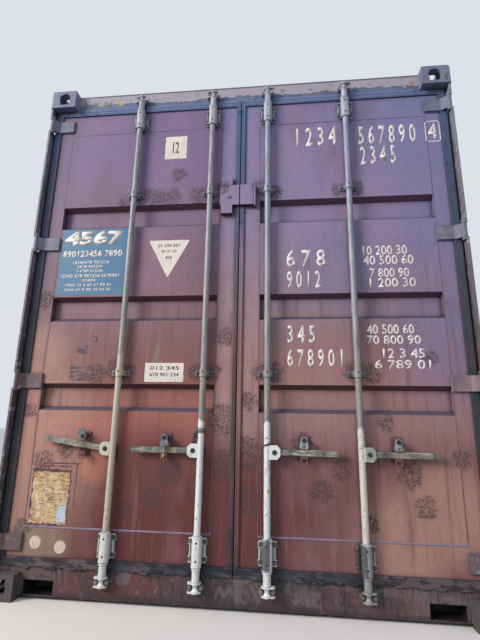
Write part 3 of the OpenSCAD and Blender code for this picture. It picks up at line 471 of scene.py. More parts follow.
def height_shades(tree, coords, shades):
    """A colour that changes with height, from pairs of a height in metres and a colour."""
    z = add(tree, "SeparateXYZ", {0: coords}).outputs[2]
    part = add(tree, "MapRange", {"Value": z, "From Max": RAMP_TOP})
    ramp = add(tree, "ValToRGB", {0: part.outputs[0]})
    stops = ramp.color_ramp.elements
    while len(stops) < len(shades):
        stops.new(0.5)
    for stop, (height, code) in zip(stops, shades):
        stop.position = height / RAMP_TOP
        stop.color = linear(code)
    return ramp.outputs[0]


SCAB_PLACES = [
    (-640, 2150, 0.9), (-560, 2165, 0.8), (-480, 2135, 1.1), (-400, 2150, 1.0), (-690, 2110, 0.7),
    (-370, 2290, 0.8), (-240, 2150, 1.0), (-100, 2180, 0.9), (-420, 1850, 0.5), (-1110, 1520, 0.9),
    (-1060, 1500, 0.6), (-660, 1120, 1.0), (-590, 1105, 0.8), (-760, 1095, 0.9), (-210, 1110, 0.9),
    (-130, 1110, 0.8), (-60, 1300, 0.9), (-60, 860, 1.5), (-70, 640, 1.3), (-330, 600, 1.2),
    (-420, 480, 0.9), (-1010, 640, 1.0), (-900, 700, 0.8), (60, 700, 1.4), (70, 480, 1.2), (60, 960, 0.9),
    (200, 1110, 0.9), (120, 1110, 0.8), (110, 2180, 0.9), (190, 2150, 0.9), (330, 760, 0.9),
    (420, 540, 0.9), (520, 640, 0.9), (600, 1120, 1.0), (690, 1100, 0.9), (650, 2150, 0.9),
    (740, 860, 0.8), (840, 620, 1.1), (900, 480, 0.9), (980, 1180, 0.7), (560, 2150, 0.8),
    (1080, 700, 0.8), (-1080, 320, 0.8), (640, 400, 0.8), (-560, 420, 0.7), (-1120, 900, 0.7),
]


def scabs(tree, coords, under, places, reach, cell=8.5):
    """Blistered paint in clusters, dark cracked rings with paler middles: the colour and its height."""
    moved = wandering(tree, coords, 75.0, 4.0, (0.014, 0.014, 0.014))
    cells = add(tree, "TexVoronoi", {"Vector": moved, "Scale": 1000 / cell}).outputs["Distance"]
    spots = add(tree, "MapRange", {"Value": cells, "From Min": 0.40, "From Max": 0.52, "To Min": 1.0,
                                   "To Max": 0.0}).outputs[0]
    rim = add(tree, "MapRange", {"Value": cells, "From Min": 0.16, "From Max": 0.30}).outputs[0]
    chance = add(tree, "TexNoise", {"Vector": coords, "Scale": 30.0, "Detail": 6.0, "Roughness": 0.75})
    where = near(tree, coords, places, reach)
    kept = add(tree, "Math", {0: where, 1: 0.5, 2: chance.outputs["Fac"]},
               operation="MULTIPLY_ADD").outputs[0]
    cluster = add(tree, "MapRange", {"Value": kept, "From Min": 0.84, "From Max": 0.92}).outputs[0]
    stain = add(tree, "MapRange", {"Value": kept, "From Min": 0.70, "From Max": 1.10}).outputs[0]
    colour = laid_over(tree, under, "#4a3540", stain, 0.40)
    mask = product(tree, spots, cluster)
    colour = laid_over(tree, colour, "#8c7376", mask, 0.45)
    return laid_over(tree, colour, "#2c1f28", product(tree, mask, rim), 0.85), mask


# door paint by height for each leaf: faded paint, with a painted sky reflection that turns it mauve and blue high
# up
LEFT_FADE_AND_SKY_REFLECTION = [(0.16, "#5f3733"), (0.42, "#623532"), (0.62, "#86534d"), (0.84, "#a6665c"), (1.06, "#82524b"),
               (1.25, "#7c5257"), (1.45, "#7f5f6b"), (1.80, "#7e657d"), (2.30, "#76618a"), (2.80, "#72608a")]
RIGHT_FADE_AND_SKY_REFLECTION = [(0.16, "#6c4346"), (0.50, "#724b4c"), (0.66, "#784f52"), (0.84, "#907070"), (1.05, "#9a716f"),
                (1.25, "#926e72"), (1.40, "#8b7681"), (1.70, "#8b798e"), (1.95, "#897b9e"), (2.80, "#7a75a3")]


def leaf_fade_and_sky_reflection(tree, coords):
    """Door paint by height, faded and with a painted sky reflection high up, differently on the panels of the
    left leaf and right of them.
    """
    right = band(tree, coords, 0, -0.12, 4.0, 0.03)
    return laid_over(tree, height_shades(tree, coords, LEFT_FADE_AND_SKY_REFLECTION),
                     height_shades(tree, coords, RIGHT_FADE_AND_SKY_REFLECTION), right)


def door_paint():
    """Alkyd paint sprayed on steel sheet, maroon and chalked: mauve high up, faded and with a painted sky
    reflection, brown and streaked low down, with dark blistered scabs round the fittings; painted shade darkens
    faces that look up or down, the high left hinge stile and the corners."""
    material, tree, coords = new_finish("chalked_maroon_door_paint")
    colour = leaf_fade_and_sky_reflection(tree, coords)
    # a painted sky reflection makes it bluer towards the right hinge stile; chalky brown low down at both sides,
    # dark red in the middle
    colour = tinted(tree, coords, colour, [
        ([(1150, 2500, 1.0), (1180, 1900, 1.0), (1150, 1300, 0.9), (600, 1700, 0.6)], 560, "#6c72a2", 0.50)])
    # painted shade high on the left hinge stile
    left_stile_painted_shade = product(tree, band(tree, coords, 0, -2.0, -1.03, 0.06), band(tree, coords, 2, 1.15, 4.0, 0.15))
    colour = laid_over(tree, colour, "#4c3c58", left_stile_painted_shade, 0.34)
    middle = product(tree, band(tree, coords, 0, -0.108, 0.108, 0.012), band(tree, coords, 2, 0.72, 1.7, 0.16))
    colour = laid_over(tree, colour, "#c3a3a6", middle, 0.26)
    colour = tinted(tree, coords, colour, [
        ([(-1170, 520, 1.1), (-1170, 860, 0.9), (-1150, 1180, 0.5), (1000, 450, 0.6), (780, 320, 0.6)], 560,
         "#b88f80", 0.66),
        ([(-722, 610, 1.0), (-735, 690, 0.7)], 110, "#d48c72", 0.7),
        ([(-1060, 262, 1.0), (-960, 262, 1.0), (-880, 255, 0.6)], 130, "#827462", 0.75),
        ([(-420, 520, 1.0), (-180, 480, 0.9), (-560, 300, 0.8), (-60, 400, 0.9), (70, 420, 0.9),
          (250, 400, 0.4)], 480, "#561c1e", 0.78)])
    colour = coats(tree, coords, colour, [
        ("#5f3a48", 420, 0.50, 0.72, 0.45, (1, 1, 0.5), 3.1),
        ("#a57f86", 260, 0.52, 0.76, 0.30, (1, 1, 0.35), 7.7)])
    # rain streaks, 12 to 40 mm wide and a metre long, fading out high up
    low_down = band(tree, coords, 2, -1.0, 1.75, 0.45)
    colour = coats(tree, coords, colour, [
        ("#57303a", 34, 0.50, 0.74, 0.50, (1, 1, 0.05), 1.3, 6.0, low_down),
        ("#ab837a", 24, 0.56, 0.80, 0.42, (1, 1, 0.06), 5.9, 6.0, low_down)])
    # dusty grey runs on the lower leaves and fine chalk mottling
    dusty = band(tree, coords, 2, 0.9, 1.5, 0.12)
    colour = coats(tree, coords, colour, [
        ("#7d7c80", 60, 0.54, 0.72, 0.45, (1, 1, 0.22), 8.6, 6.0, dusty),
        ("#6d4753", 14, 0.50, 0.72, 0.30, (1, 1, 0.7), 2.2, 8.0)])
    # dust and painted shade, dark blue grey, on faces that look up, and painted shade and grime on those that
    # look down
    colour = laid_over(tree, colour, "#454259", facing(tree, 0.25, 0.6), 0.9)
    under = add(tree, "Math", {0: 1.0, 1: facing(tree, -0.6, -0.25)}, operation="SUBTRACT").outputs[0]
    colour = laid_over(tree, colour, "#4a2230", under, 0.85)
    # painted shade and grime in corners and gaps
    colour = laid_over(tree, colour, "#2c1a26", corner_shade_and_grime(tree, 28, 0.45, 0.92), 0.75)
    colour, raised = scabs(tree, coords, colour, SCAB_PLACES, 100)
    wear, soft = edges(tree, 2.5)
    colour = laid_over(tree, colour, "#a79a9c", wear, 0.35)
    surface(tree, colour, coords, 3.0, 0.25, 0.58, raised=raised, raise_by=1.6, normal=soft,
            rough_mask=raised, rough_to=0.85)
    return material


def frame_paint(name, shades, dirt, chips, dirt_amount=0.6, chip_amount=0.6, rust_amount=0.5, size=1.0, tints=()):
    """Alkyd paint on rolled steel, weathered: its shades by height, tints at places, dirt, chips, rust and
    painted shade in corners.
    """
    material, tree, coords = new_finish(name)
    colour = height_shades(tree, coords, shades)
    colour = tinted(tree, coords, colour, tints)
    colour = coats(tree, coords, colour, [
        (dirt, 300 * size, 0.44, 0.66, dirt_amount, (1, 1, 0.6), 4.4),
        (dirt, 30 * size, 0.50, 0.72, dirt_amount, (1, 1, 0.08), 8.1)])
    colour, chipped = patches(tree, coords, colour, chips, 60 * size, 0.56, 0.64, chip_amount, (1, 1, 1), 9.3,
                              9.0)
    colour, _ = patches(tree, coords, colour, chips, 12 * size, 0.58, 0.66, chip_amount, (1, 1, 0.6), 2.3, 9.0)
    colour, rusted = patches(tree, coords, colour, "#6f4334", 45 * size, 0.62, 0.70, rust_amount, (1, 1, 0.5),
                             6.5, 9.0)
    # painted shade and grime in corners and gaps
    colour = laid_over(tree, colour, "#241f22", corner_shade_and_grime(tree, 40), 0.6)
    wear, soft = edges(tree, 2.5)
    colour = laid_over(tree, colour, chips, wear, 0.5)
    surface(tree, colour, coords, 4.0, 0.3, 0.62, raised=chipped, raise_by=-0.5, normal=soft, rough_mask=rusted)
    return material


def sill_paint():
    """Alkyd paint on the sill: dark red and brown, torn to grey under the gasket, with drips."""
    material, tree, coords = new_finish("battered_sill_paint")
    colour = height_shades(tree, coords, [(0.0, "#3f3236"), (0.09, "#54393e"), (0.17, "#5c4749")])
    colour = tinted(tree, coords, colour, [
        ([(-100, 90, 1.0), (230, 120, 0.6)], 380, "#43373b", 0.6),
        ([(-860, 70, 1.0), (-640, 80, 0.7), (-440, 90, 0.5)], 260, "#62363b", 0.6),
        ([(-1040, 110, 1.0), (-900, 150, 0.6)], 230, "#5d4c4c", 0.8),
        ([(640, 60, 0.8), (830, 80, 1.0), (1050, 100, 1.0)], 300, "#6b5256", 0.8)])
    colour = coats(tree, coords, colour, [
        ("#2f292e", 75, 0.52, 0.60, 0.55, (0.8, 1, 1), 4.4, 9.0),
        ("#83777b", 48, 0.58, 0.65, 0.5, (0.9, 1, 0.8), 1.3, 10.0)])
    bare = near(tree, coords, [(-30, 130, 0.7), (60, 100, 1.0), (120, 120, 0.8), (290, 125, 0.9),
                               (350, 90, 0.6), (-560, 140, 0.7), (700, 140, 0.8), (880, 140, 0.9),
                               (1010, 120, 0.7)], 150)
    torn = ragged(tree, coords, bare, 55, 0.68, 0.76)
    colour = laid_over(tree, colour, "#6a6264", torn, 0.65)
    drips = near(tree, coords, [(-380, 150, 0.8), (-60, 150, 1.0), (210, 150, 0.9), (420, 150, 0.8),
                                (600, 150, 0.8)], 90)
    colour = laid_over(tree, colour, "#20242b", ragged(tree, coords, drips, 26, 0.66, 0.72), 0.8)
    colour = coats(tree, coords, colour, [
        ("#241f24", 17, 0.52, 0.66, 0.75, (1, 1, 0.16), 8.1),
        ("#8b7b7e", 9, 0.60, 0.68, 0.45, (1, 1, 0.3), 2.3, 9.0),
        ("#2a2529", 120, 0.50, 0.70, 0.6, (0.6, 1, 1), 4.4)])
    low = add(tree, "Math", {0: 1.0, 1: band(tree, coords, 2, 0.035, 0.4, 0.012)}, operation="SUBTRACT")
    colour = laid_over(tree, colour, "#221e21", low.outputs[0], 0.6)
    colour, rusted = patches(tree, coords, colour, "#6f4334", 30, 0.64, 0.70, 0.6, (1, 1, 0.5), 6.5, 9.0)
    # painted shade deep inside the pockets of the sill
    colour = laid_over(tree, colour, "#101318", band(tree, coords, 1, DOOR_END + 0.068, 0.0, 0.008), 0.95)
    # painted shade and grime in corners and gaps
    colour = laid_over(tree, colour, "#241f22", corner_shade_and_grime(tree, 30), 0.5)
    wear, soft = edges(tree, 2.5)
    colour = laid_over(tree, colour, "#7d7578", wear, 0.5)
    surface(tree, colour, coords, 4.0, 0.3, 0.62, raised=torn, raise_by=-0.6, normal=soft, rough_mask=rusted)
    return material


def header_paint():
    """Alkyd paint on the header, its pale top peeled in scallops over blue grey, with a dark upper edge."""
    material, tree, coords = new_finish("peeled_header_paint")
    colour = height_shades(tree, coords, [(0.0, "#5a6b8c"), (RAMP_TOP, "#5a6b8c")])
    colour, _ = patches(tree, coords, colour, "#434f6c", 90, 0.42, 0.62, 0.6, (1, 1, 1), 1.1)
    ripple = add(tree, "TexNoise", {"Vector": coords, "Scale": 14.0, "Detail": 5.0, "Roughness": 0.7})
    z = add(tree, "SeparateXYZ", {0: coords}).outputs[2]
    edge = add(tree, "Math", {0: ripple.outputs["Fac"], 1: 0.085, 2: z}, operation="MULTIPLY_ADD").outputs[0]
    shade = add(tree, "MapRange", {"Value": edge, "From Min": 2.848, "From Max": 2.858}).outputs[0]
    colour = laid_over(tree, colour, "#343d54", shade, 0.7)
    peeled = add(tree, "MapRange", {"Value": edge, "From Min": 2.858, "From Max": 2.862}).outputs[0]
    colour = laid_over(tree, colour, "#a19ba9", peeled, 0.95)
    far_left = band(tree, coords, 0, -2.0, -0.50, 0.15)
    colour, _ = patches(tree, coords, colour, "#55606f", 26, 0.46, 0.60, 0.8, (1, 1, 1), 5.2, 8.0, product(
        tree, far_left, band(tree, coords, 2, 2.0, 2.845, 0.012)))
    colour, _ = patches(tree, coords, colour, "#857d80", 55, 0.52, 0.70, 0.6, (1, 1, 1), 5.2, 8.0)
    # small splashes of old paint, then the dark upper edge
    for x, height, size, code in ((-775, 2828, 26, "#c4a350"), (832, 2842, 20, "#b08a7a"),
                                  (1016, 2832, 24, "#b06a48"), (250, 2838, 22, "#6a4a3c"),
                                  (420, 2836, 14, "#6a4a3c")):
        spot = near(tree, coords, [(x, height, 1.0)], size)
        colour, _ = patches(tree, coords, colour, code, 9, 0.42, 0.50, 0.85, (1, 1, 1), 2.9, 6.0, spot)
    colour = laid_over(tree, colour, "#444a4b", band(tree, coords, 2, 2.877, 3.2, 0.003), 0.85)
    colour, _ = patches(tree, coords, colour, "#6d4a3c", 40, 0.64, 0.72, 0.6, (0.5, 1, 1.4), 3.4, 9.0)
    _, soft = edges(tree, 2.5)
    surface(tree, colour, coords, 4.0, 0.4, 0.6, raised=peeled, raise_by=0.5, normal=soft)
    return material


def worn_steel(name, shades, dark, rust, metal=0.3, rough=0.45, rust_low=0.60, dark_amount=0.6, paint=(),
               held=0.34, along=(1, 1, 0.1), pale=0.4):
    """Steel with a dull zinc coat or worn paint: cloudy, streaked along its length, rusty in spots.

    shades is one colour, or colours by height. paint holds places where a brushed paint covers
    it: colour, low and high on x and on z. The paint flakes off more as held rises.
    """
    material, tree, coords = new_finish(name)
    shades = shades if isinstance(shades, list) else [(0.0, shades), (RAMP_TOP, shades)]
    colour = height_shades(tree, coords, shades)
    colour = coats(tree, coords, colour, [
        (dark, 70, 0.42, 0.70, dark_amount, (1, 1, 0.35), 2.7),
        (dark, 11, 0.50, 0.74, dark_amount * 0.8, (1, 1, 0.5), 3.8, 8.0),
        ("#c4c5c3", 13, 0.52, 0.66, pale, along, 1.4, 7.0)])
    for shade, x0, x1, z0, z1 in paint:
        spread = wandering(tree, coords, 28.0, 6.0, (0.0, 0.0, 0.10))
        over = product(tree, band(tree, spread, 0, x0, x1, 0.002), band(tree, spread, 2, z0 + 0.05, z1 + 0.05,
                                                                        0.01))
        worn = add(tree, "TexNoise", {"Vector": coords, "Scale": 60.0, "Detail": 8.0, "Roughness": 0.7})
        kept = add(tree, "MapRange", {"Value": worn.outputs["Fac"], "From Min": held,
                                      "From Max": held + 0.06})
        colour = laid_over(tree, colour, shade, product(tree, over, kept.outputs[0]), 0.95)
    colour, rusted = patches(tree, coords, colour, rust, 36, rust_low, rust_low + 0.09, 0.85, (1, 1, 0.7),
                             6.1, 9.0)
    colour, _ = patches(tree, coords, colour, "#3d3a36", 10, 0.61, 0.68, 0.6, along, 8.3, 9.0)
    # painted shade and grime in corners and gaps, darker still on the low brackets
    corners = corner_shade_and_grime(tree, 12)
    colour = laid_over(tree, colour, "#2b2723", corners, 0.36)
    colour = laid_over(tree, colour, "#2b2723",
                       product(tree, corners, band(tree, coords, 2, -1.0, 0.4, 0.05)), 0.7)
    wear, soft = edges(tree, 2.0)
    colour = laid_over(tree, colour, "#544b49", wear, 0.3)
    surface(tree, colour, coords, 2.5, 0.25, rough, metal, raised=rusted, raise_by=0.4, normal=soft,
            rough_mask=rusted, rough_to=0.85)
    return material


def catch_paint():
    """Handle catches: the plate in door paint, the boss, shelf and ring on it rusty and dark."""
    material, tree, coords = new_finish("painted_catch_steel")
    colour = coats(tree, coords, linear("#6d4648"), [
        ("#4a3034", 40, 0.42, 0.66, 0.8, (1, 1, 0.6), 2.7),
        ("#8a6a68", 18, 0.54, 0.68, 0.6, (1, 1, 0.6), 5.7, 8.0)])
    front = band(tree, coords, 1, -7.0, DOOR_END + 0.042, 0.002)
    colour = laid_over(tree, colour, "#6a4440", front, 0.8)
    rings = product(tree, front, band(tree, coords, 2, 0.60, 0.684, 0.002))
    colour = laid_over(tree, colour, "#7e534e", rings, 0.8)
    colour, rusted = patches(tree, coords, colour, "#7c4334", 16, 0.52, 0.62, 0.8, (1, 1, 0.8), 6.1, 9.0)
    # painted shade and grime in corners and gaps
    colour = laid_over(tree, colour, "#241a1c", corner_shade_and_grime(tree, 16), 0.8)
    wear, soft = edges(tree, 2.0)
    colour = laid_over(tree, colour, "#8f7f7c", wear, 0.4)
    surface(tree, colour, coords, 2.5, 0.3, 0.6, 0.1, raised=rusted, raise_by=0.5, normal=soft)
    return material


def gasket_rubber():
    """Extruded EPDM rubber, dusty: blue grey at the top, grey green at the sides, torn low down."""
    material, tree, coords = new_finish("dusty_gasket_rubber")
    colour = height_shades(tree, coords, [(0.14, "#454750"), (0.19, "#2e313a"), (0.24, "#39383f"),
                                          (0.9, "#4c4548"), (1.5, "#6a5860"), (2.2, "#566788"), (2.7, "#506994"),
                                          (2.78, "#68759c")])
    split = add(tree, "SeparateXYZ", {0: coords}).outputs[0]
    out = add(tree, "Math", {0: split}, operation="ABSOLUTE").outputs[0]
    sides = add(tree, "MapRange", {"Value": out, "From Min": 1.08, "From Max": 1.12}).outputs[0]
    side_shades = height_shades(tree, coords, [(0.4, "#33383c"), (1.3, "#353d47"), (2.0, "#404a63"),
                                               (2.7, "#4c5880")])
    colour = laid_over(tree, colour, side_shades, sides, 0.8)
    colour = coats(tree, coords, colour, [
        ("#6d5a61", 180, 0.50, 0.70, 0.5, (1, 1, 0.4), 1.9),
        ("#252a38", 26, 0.50, 0.70, 0.45, (0.5, 1, 0.5), 7.1)])
    # the right lip in the middle is painted over with the door, up to half of its height
    moved = wandering(tree, coords, 9.0, 5.0, (0.012, 0.0, 0.6))
    clear = band(tree, coords, 2, 0.196, 3.0, 0.003)
    for x0, x1, top, amount in ((0.007, 0.10, 2.2, 0.9), (-0.10, -0.016, 1.9, 0.75)):
        lip = product(tree, band(tree, moved, 0, x0, x1, 0.002), band(tree, moved, 2, 0.45, top, 0.08), clear)
        colour = laid_over(tree, colour, leaf_fade_and_sky_reflection(tree, coords), lip, amount)
    colour, _ = patches(tree, coords, colour, "#8d8f9c", 9, 0.62, 0.74, 0.4, (1, 1, 1), 4.6, 8.0)
    low_edge = band(tree, coords, 2, 0.0, 0.205, 0.006)
    ends = product(tree, low_edge, near(tree, coords, [(-1060, 190, 1.0), (-760, 190, 0.6), (1000, 190, 1.0),
                                                       (700, 190, 0.6)], 330))
    colour = laid_over(tree, colour, "#6b5b5c", ends, 0.7)
    colour, _ = patches(tree, coords, colour, "#1b222b", 46, 0.46, 0.54, 0.8, (0.5, 1, 1.3), 1.2, 9.0, low_edge)
    colour, torn = patches(tree, coords, colour, "#6b6e79", 26, 0.55, 0.66, 0.55, (0.35, 1, 1.5), 3.7, 9.0,
                           low_edge)
    # painted shade and grime in corners and gaps
    colour = laid_over(tree, colour, "#15171d", corner_shade_and_grime(tree, 30), 0.7)
    _, soft = edges(tree, 2.5)
    surface(tree, colour, coords, 5.0, 0.5, 0.7, specular=0.35, raised=torn, raise_by=1.5, normal=soft)
    return material


def flat_mark(name, base, worn, dirt, low=0.56, size=18, rough=0.5, stretch=(1, 1, 0.8)):
    """Vinyl film or brushed paint a fraction of a mm thick, its top worn away in flecks."""
    material, tree, coords = new_finish(name)
    colour = coats(tree, coords, linear(base), [
        (dirt, 90, 0.46, 0.70, 0.6, (1, 1, 0.6), 3.3),
        (worn, size, low, low + 0.06, 0.9, stretch, 1.7, 9.0)])
    surface(tree, colour, coords, 4.0, 0.15, rough)
    return material


def cracked_film():
    """Old yellow film, cracked by the sun in fine rows, bleached here and brown there."""
    material, tree, coords = new_finish("cracked_yellow_film")
    colour = coats(tree, coords, linear("#cfb184"), [
        ("#b58d5c", 60, 0.40, 0.62, 0.7, (1, 1, 1), 3.3),
        ("#e0d3bb", 34, 0.46, 0.64, 0.8, (1, 1, 1), 6.4),
        ("#7a5a48", 6, 0.50, 0.60, 0.8, (0.22, 1, 1.0), 1.7, 9.0),
        ("#8a6a55", 6, 0.55, 0.66, 0.7, (1.0, 1, 0.25), 4.1, 9.0)])
    surface(tree, colour, coords, 3.0, 0.3, 0.55)
    return material


def plywood():
    """Keruing plywood floor, oiled and scuffed by forklifts, with long grain and grey wheel marks."""
    material, tree, coords = new_finish("scuffed_floor_plywood")
    colour = coats(tree, coords, linear("#7a5a3c"), [
        ("#93714c", 16, 0.35, 0.70, 0.8, (1, 0.03, 1), 2.1),
        ("#54402f", 6, 0.48, 0.72, 0.6, (1, 0.04, 1), 4.0),
        ("#5c564f", 420, 0.46, 0.70, 0.6, (1, 0.3, 1), 8.8)])
    surface(tree, colour, coords, 2.0, 0.3, 0.7)
    return material


def make_finishes():
    """Every finish of the container, by a short name."""
    zinc = dict(dark="#6d6d72", rust="#66483a", metal=0.1, rust_low=0.64, dark_amount=0.6)
    left_zinc = [(0.9, "#918d86"), (1.3, "#949290"), (1.9, "#8f919a"), (2.55, "#8c8e9c"), (2.64, "#adacb8")]
    right_zinc = [(0.9, "#8c8984"), (1.4, "#8c8e92"), (2.0, "#8a92a8"), (2.55, "#8b91ad"), (2.64, "#a9acc2")]
    cream = "#c9c4b0"
    return {
        "door": door_paint(),
        "header": header_paint(),
        "sill": sill_paint(),
        "post": frame_paint("weathered_post_paint", [(0.1, "#4c4a4c"), (0.9, "#5d5254"), (2.0, "#76707c"),
                                                     (2.8, "#8790a2")], "#3a3338", "#a3a3a8", 0.55, 0.7),
        "wall": frame_paint("weathered_wall_paint", [(0.0, "#583c3a"), (0.6, "#6f4542"), (1.6, "#7d4f55"),
                                                     (2.9, "#7e5c6e")], "#4a3335", "#94797a", 0.5, 0.35, 0.5,
                            1.6),
        "casting_top": worn_steel("worn_casting_paint", "#747b94", "#4c5270", "#5a4a48", 0.0, 0.6, 0.62,
                                  pale=0.0),
        "casting_low": worn_steel("dirty_casting_paint", "#534d4f", "#363437", "#5d4438", 0.0, 0.7, 0.56,
                                  pale=0.0),
        "blade": frame_paint("worn_hinge_paint", [(0.2, "#67514f"), (1.05, "#6a5153"), (1.9, "#747892"),
                                                  (2.7, "#6c6e88")], "#443b42", "#8c8690", 0.5, 0.6, 0.4, 0.6,
                             tints=[
                                    ([(1110, 1057, 1.0)], 120, "#8f7580", 0.8),
                                    ([(1110, 254, 1.0)], 120, "#7b6670", 0.8)]),
        "keeper": worn_steel("rusty_keeper_steel", [(0.1, "#6d6862"), (2.7, "#9c9ca6")], "#4b4a4e", "#5d4a40",
                             0.1, 0.6,
                             0.64, 0.7),
        "bar_left": worn_steel("zinc_and_white_left", left_zinc, paint=[
            ("#dfe3e4", -0.30, -0.04, -0.2, 0.86), ("#bdb4a4", -0.66, -0.59, 0.34, 1.20),
            ("#d9dad6", -0.75, -0.53, -0.2, 0.33), (cream, -0.705, -0.643, 0.67, 0.76)], held=0.35, **zinc),
        "bar_right": worn_steel("zinc_and_white_right", right_zinc, paint=[
            ("#dfe3e4", 0.04, 0.28, -0.2, 0.85), ("#d0cac4", 0.50, 0.75, 0.32, 0.82),
            ("#8f9193", 0.50, 0.75, -0.2, 0.33), ("#4a4e50", 0.55, 0.613, 0.185, 0.33),
            ("#c9cbca", 0.640, 0.668, 0.205, 0.315), ("#4a4e52", 0.137, 0.175, 0.190, 0.322),
            ("#8b9488", 0.631, 0.70, 0.67, 0.76)], held=0.36, **zinc),
        "handle": worn_steel("worn_handle_steel", "#8b8982", "#3a3632", "#75653f", 0.1, 0.55, 0.60, 0.9,
                             along=(0.12, 1, 1), pale=0.8),
        "catch": catch_paint(),
        "hasp": worn_steel("blue_grey_hasp_steel", "#7f8896", "#50545c", "#5b4438", 0.2, 0.5, 0.58),
        "bolt": worn_steel("dull_bolt_steel", "#55535a", "#343238", "#54403a", 0.2, 0.55, 0.62),
        "dark": worn_steel("dark_recess_steel", "#2b2728", "#1b191b", "#3c2a24", 0.0, 0.8, 0.6, pale=0.0),
        "weld": frame_paint("painted_weld_seams", [(0.1, "#7a6a76"), (0.332, "#857a92"), (0.345, "#653f42"),
                                                   (1.2, "#825258"), (2.8, "#6a5f82")], "#4a343c", "#8f8798",
                            0.3, 0.4, 0.2, 0.5),
        "rubber": gasket_rubber(),
        "bitumen": frame_paint("underframe_bitumen", [(0.0, "#2c2a29"), (0.17, "#353231")], "#1d1c1c", "#57504a",
                               0.6, 0.4, 0.5),
        "plywood": plywood(),
        "vent": frame_paint("painted_vent_cover", [(0.0, "#7b5357"), (2.9, "#7c5f6c")], "#4a3335", "#94797a"),
        "white": flat_mark("worn_white_marking_paint", "#e2dcdc", "#9a8389", "#bfb3b8", 0.63, 14),
        "sticker": flat_mark("aged_white_vinyl", "#e0d8d4", "#b3a9a4", "#c6bcb8", 0.62, 12),
        "blue": flat_mark("faded_blue_vinyl", "#3a7196", "#6c8aa6", "#3a629a", 0.63, 14),
        "pale_blue": flat_mark("bleached_blue_vinyl", "#b3cad9", "#7f95a8", "#9fb6c6", 0.58, 10),
        "yellow": cracked_film(),
        "violet": flat_mark("dark_violet_glue", "#4a344c", "#7a5550", "#33263a", 0.52, 8, 0.7),
        "disc": flat_mark("aged_cream_film", "#cfc1ad", "#a98d78", "#b9a58c", 0.56, 8),
        "rubbed": flat_mark("rubbed_dark_paint", "#5a4a50", "#8a6a70", "#463842", 0.50, 12, 0.7, (0.3, 1, 1.2)),
        "green": flat_mark("green_cable_tie", "#466f64", "#93aaa0", "#2b4a42", 0.58, 8),
        "black": flat_mark("black_tape", "#2a2a2e", "#4c4a4d", "#1f1f22", 0.64, 10),
        "gold": flat_mark("brass_seal_tab", "#ac9a68", "#80693a", "#96793b", 0.58, 7, 0.4),
    }


def dress_nodes(finish):
    """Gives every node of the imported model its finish."""
    names = {"door_header": "header", "door_sill": "sill", "floor": "plywood", "cross_members": "bitumen",
             "gooseneck_tunnel": "bitumen", "hinge_pins": "blade", "cam_keepers": "keeper", "ventilators": "vent",
             "bar_brackets_left": "bar_left", "bar_brackets_right": "bar_right", "lock_bar_1": "bar_left",
             "lock_bar_2": "bar_left", "lock_bar_3": "bar_right", "lock_bar_4": "bar_right"}
    starts = {"top_castings": "casting_top", "bottom_castings": "casting_low", "rear_post": "post",
              "gasket": "rubber", "door_": "door", "guard": "door", "hinge_blades": "blade",
              "handle_catches": "catch", "handle_": "handle", "hasp_": "hasp"}
    for name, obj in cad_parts.items():
        pick = names.get(name)
        if not pick:
            pick = next((value for key, value in starts.items() if name.startswith(key)), "wall")
        if not obj.material_slots:
            obj.data.materials.append(finish[pick])
        obj.material_slots[0].material = finish[pick]


# pieces

def bolt_head():
    """A hexagon head on a thin round washer, made at the origin and facing out of the doors."""
    head = round_bar((0, -7, 0), (0, -1, 0), 8.5, 6)
    eased(head, 0.8, 2)
    washer = round_bar((0, -1.8, 0), (0, 0, 0), 11, 20)
    eased(washer, 0.4, 1)
    return to_origin(join(head, washer))


def add_bolts(finish):
    """Bolts of the bar brackets and guides, the hasp bolts and the pin heads on the hubs."""
    for side, word in SIDES.items():
        places, hasps = [], []
        for number in LEAF_BARS[side]:
            x = BAR_X[number]
            for z in BRACKET_Z:
                places += [(x + sx * 35, 48, z + sz * 39) for sx in (-1, 1) for sz in (-1, 1)]
            for z in GUIDE_Z:
                places += [(x + sx * 37, 48, z) for sx in (-1, 1)]
            hasps.append((CATCH_X[number], 4.8, HASP_Z))
        bolts = copies(bolt_head(), places)
        piece(smooth(bolts), "bracket_bolts_" + word, "door_" + word, finish["bolt"])
        dome = round_bar((0, -4.2, 0), (0, 0, 0), 10.5, 24)
        eased(dome, 2.6, 3)
        bolts = copies(to_origin(dome), hasps)
        piece(smooth(bolts, 60), "hasp_bolts_" + word, "door_" + word, finish["dark"])
    for number, x in BAR_X.items():
        pin_x = x + (HANDLE_PIN if x > 0 else -HANDLE_PIN)
        washer = ring((pin_x, 7.2, HANDLE_Z), 10.5, 2.2)
        piece(smooth(washer), "pin_washer_%d" % number, "bar_%d" % number, finish["bolt"])
        head = round_bar((pin_x, 3.4, HANDLE_Z), (pin_x, 8.2, HANDLE_Z), 8.2, 20)
        eased(head, 1.6, 3)
        piece(smooth(head, 60), "pin_head_%d" % number, "bar_%d" % number, finish["dark"])


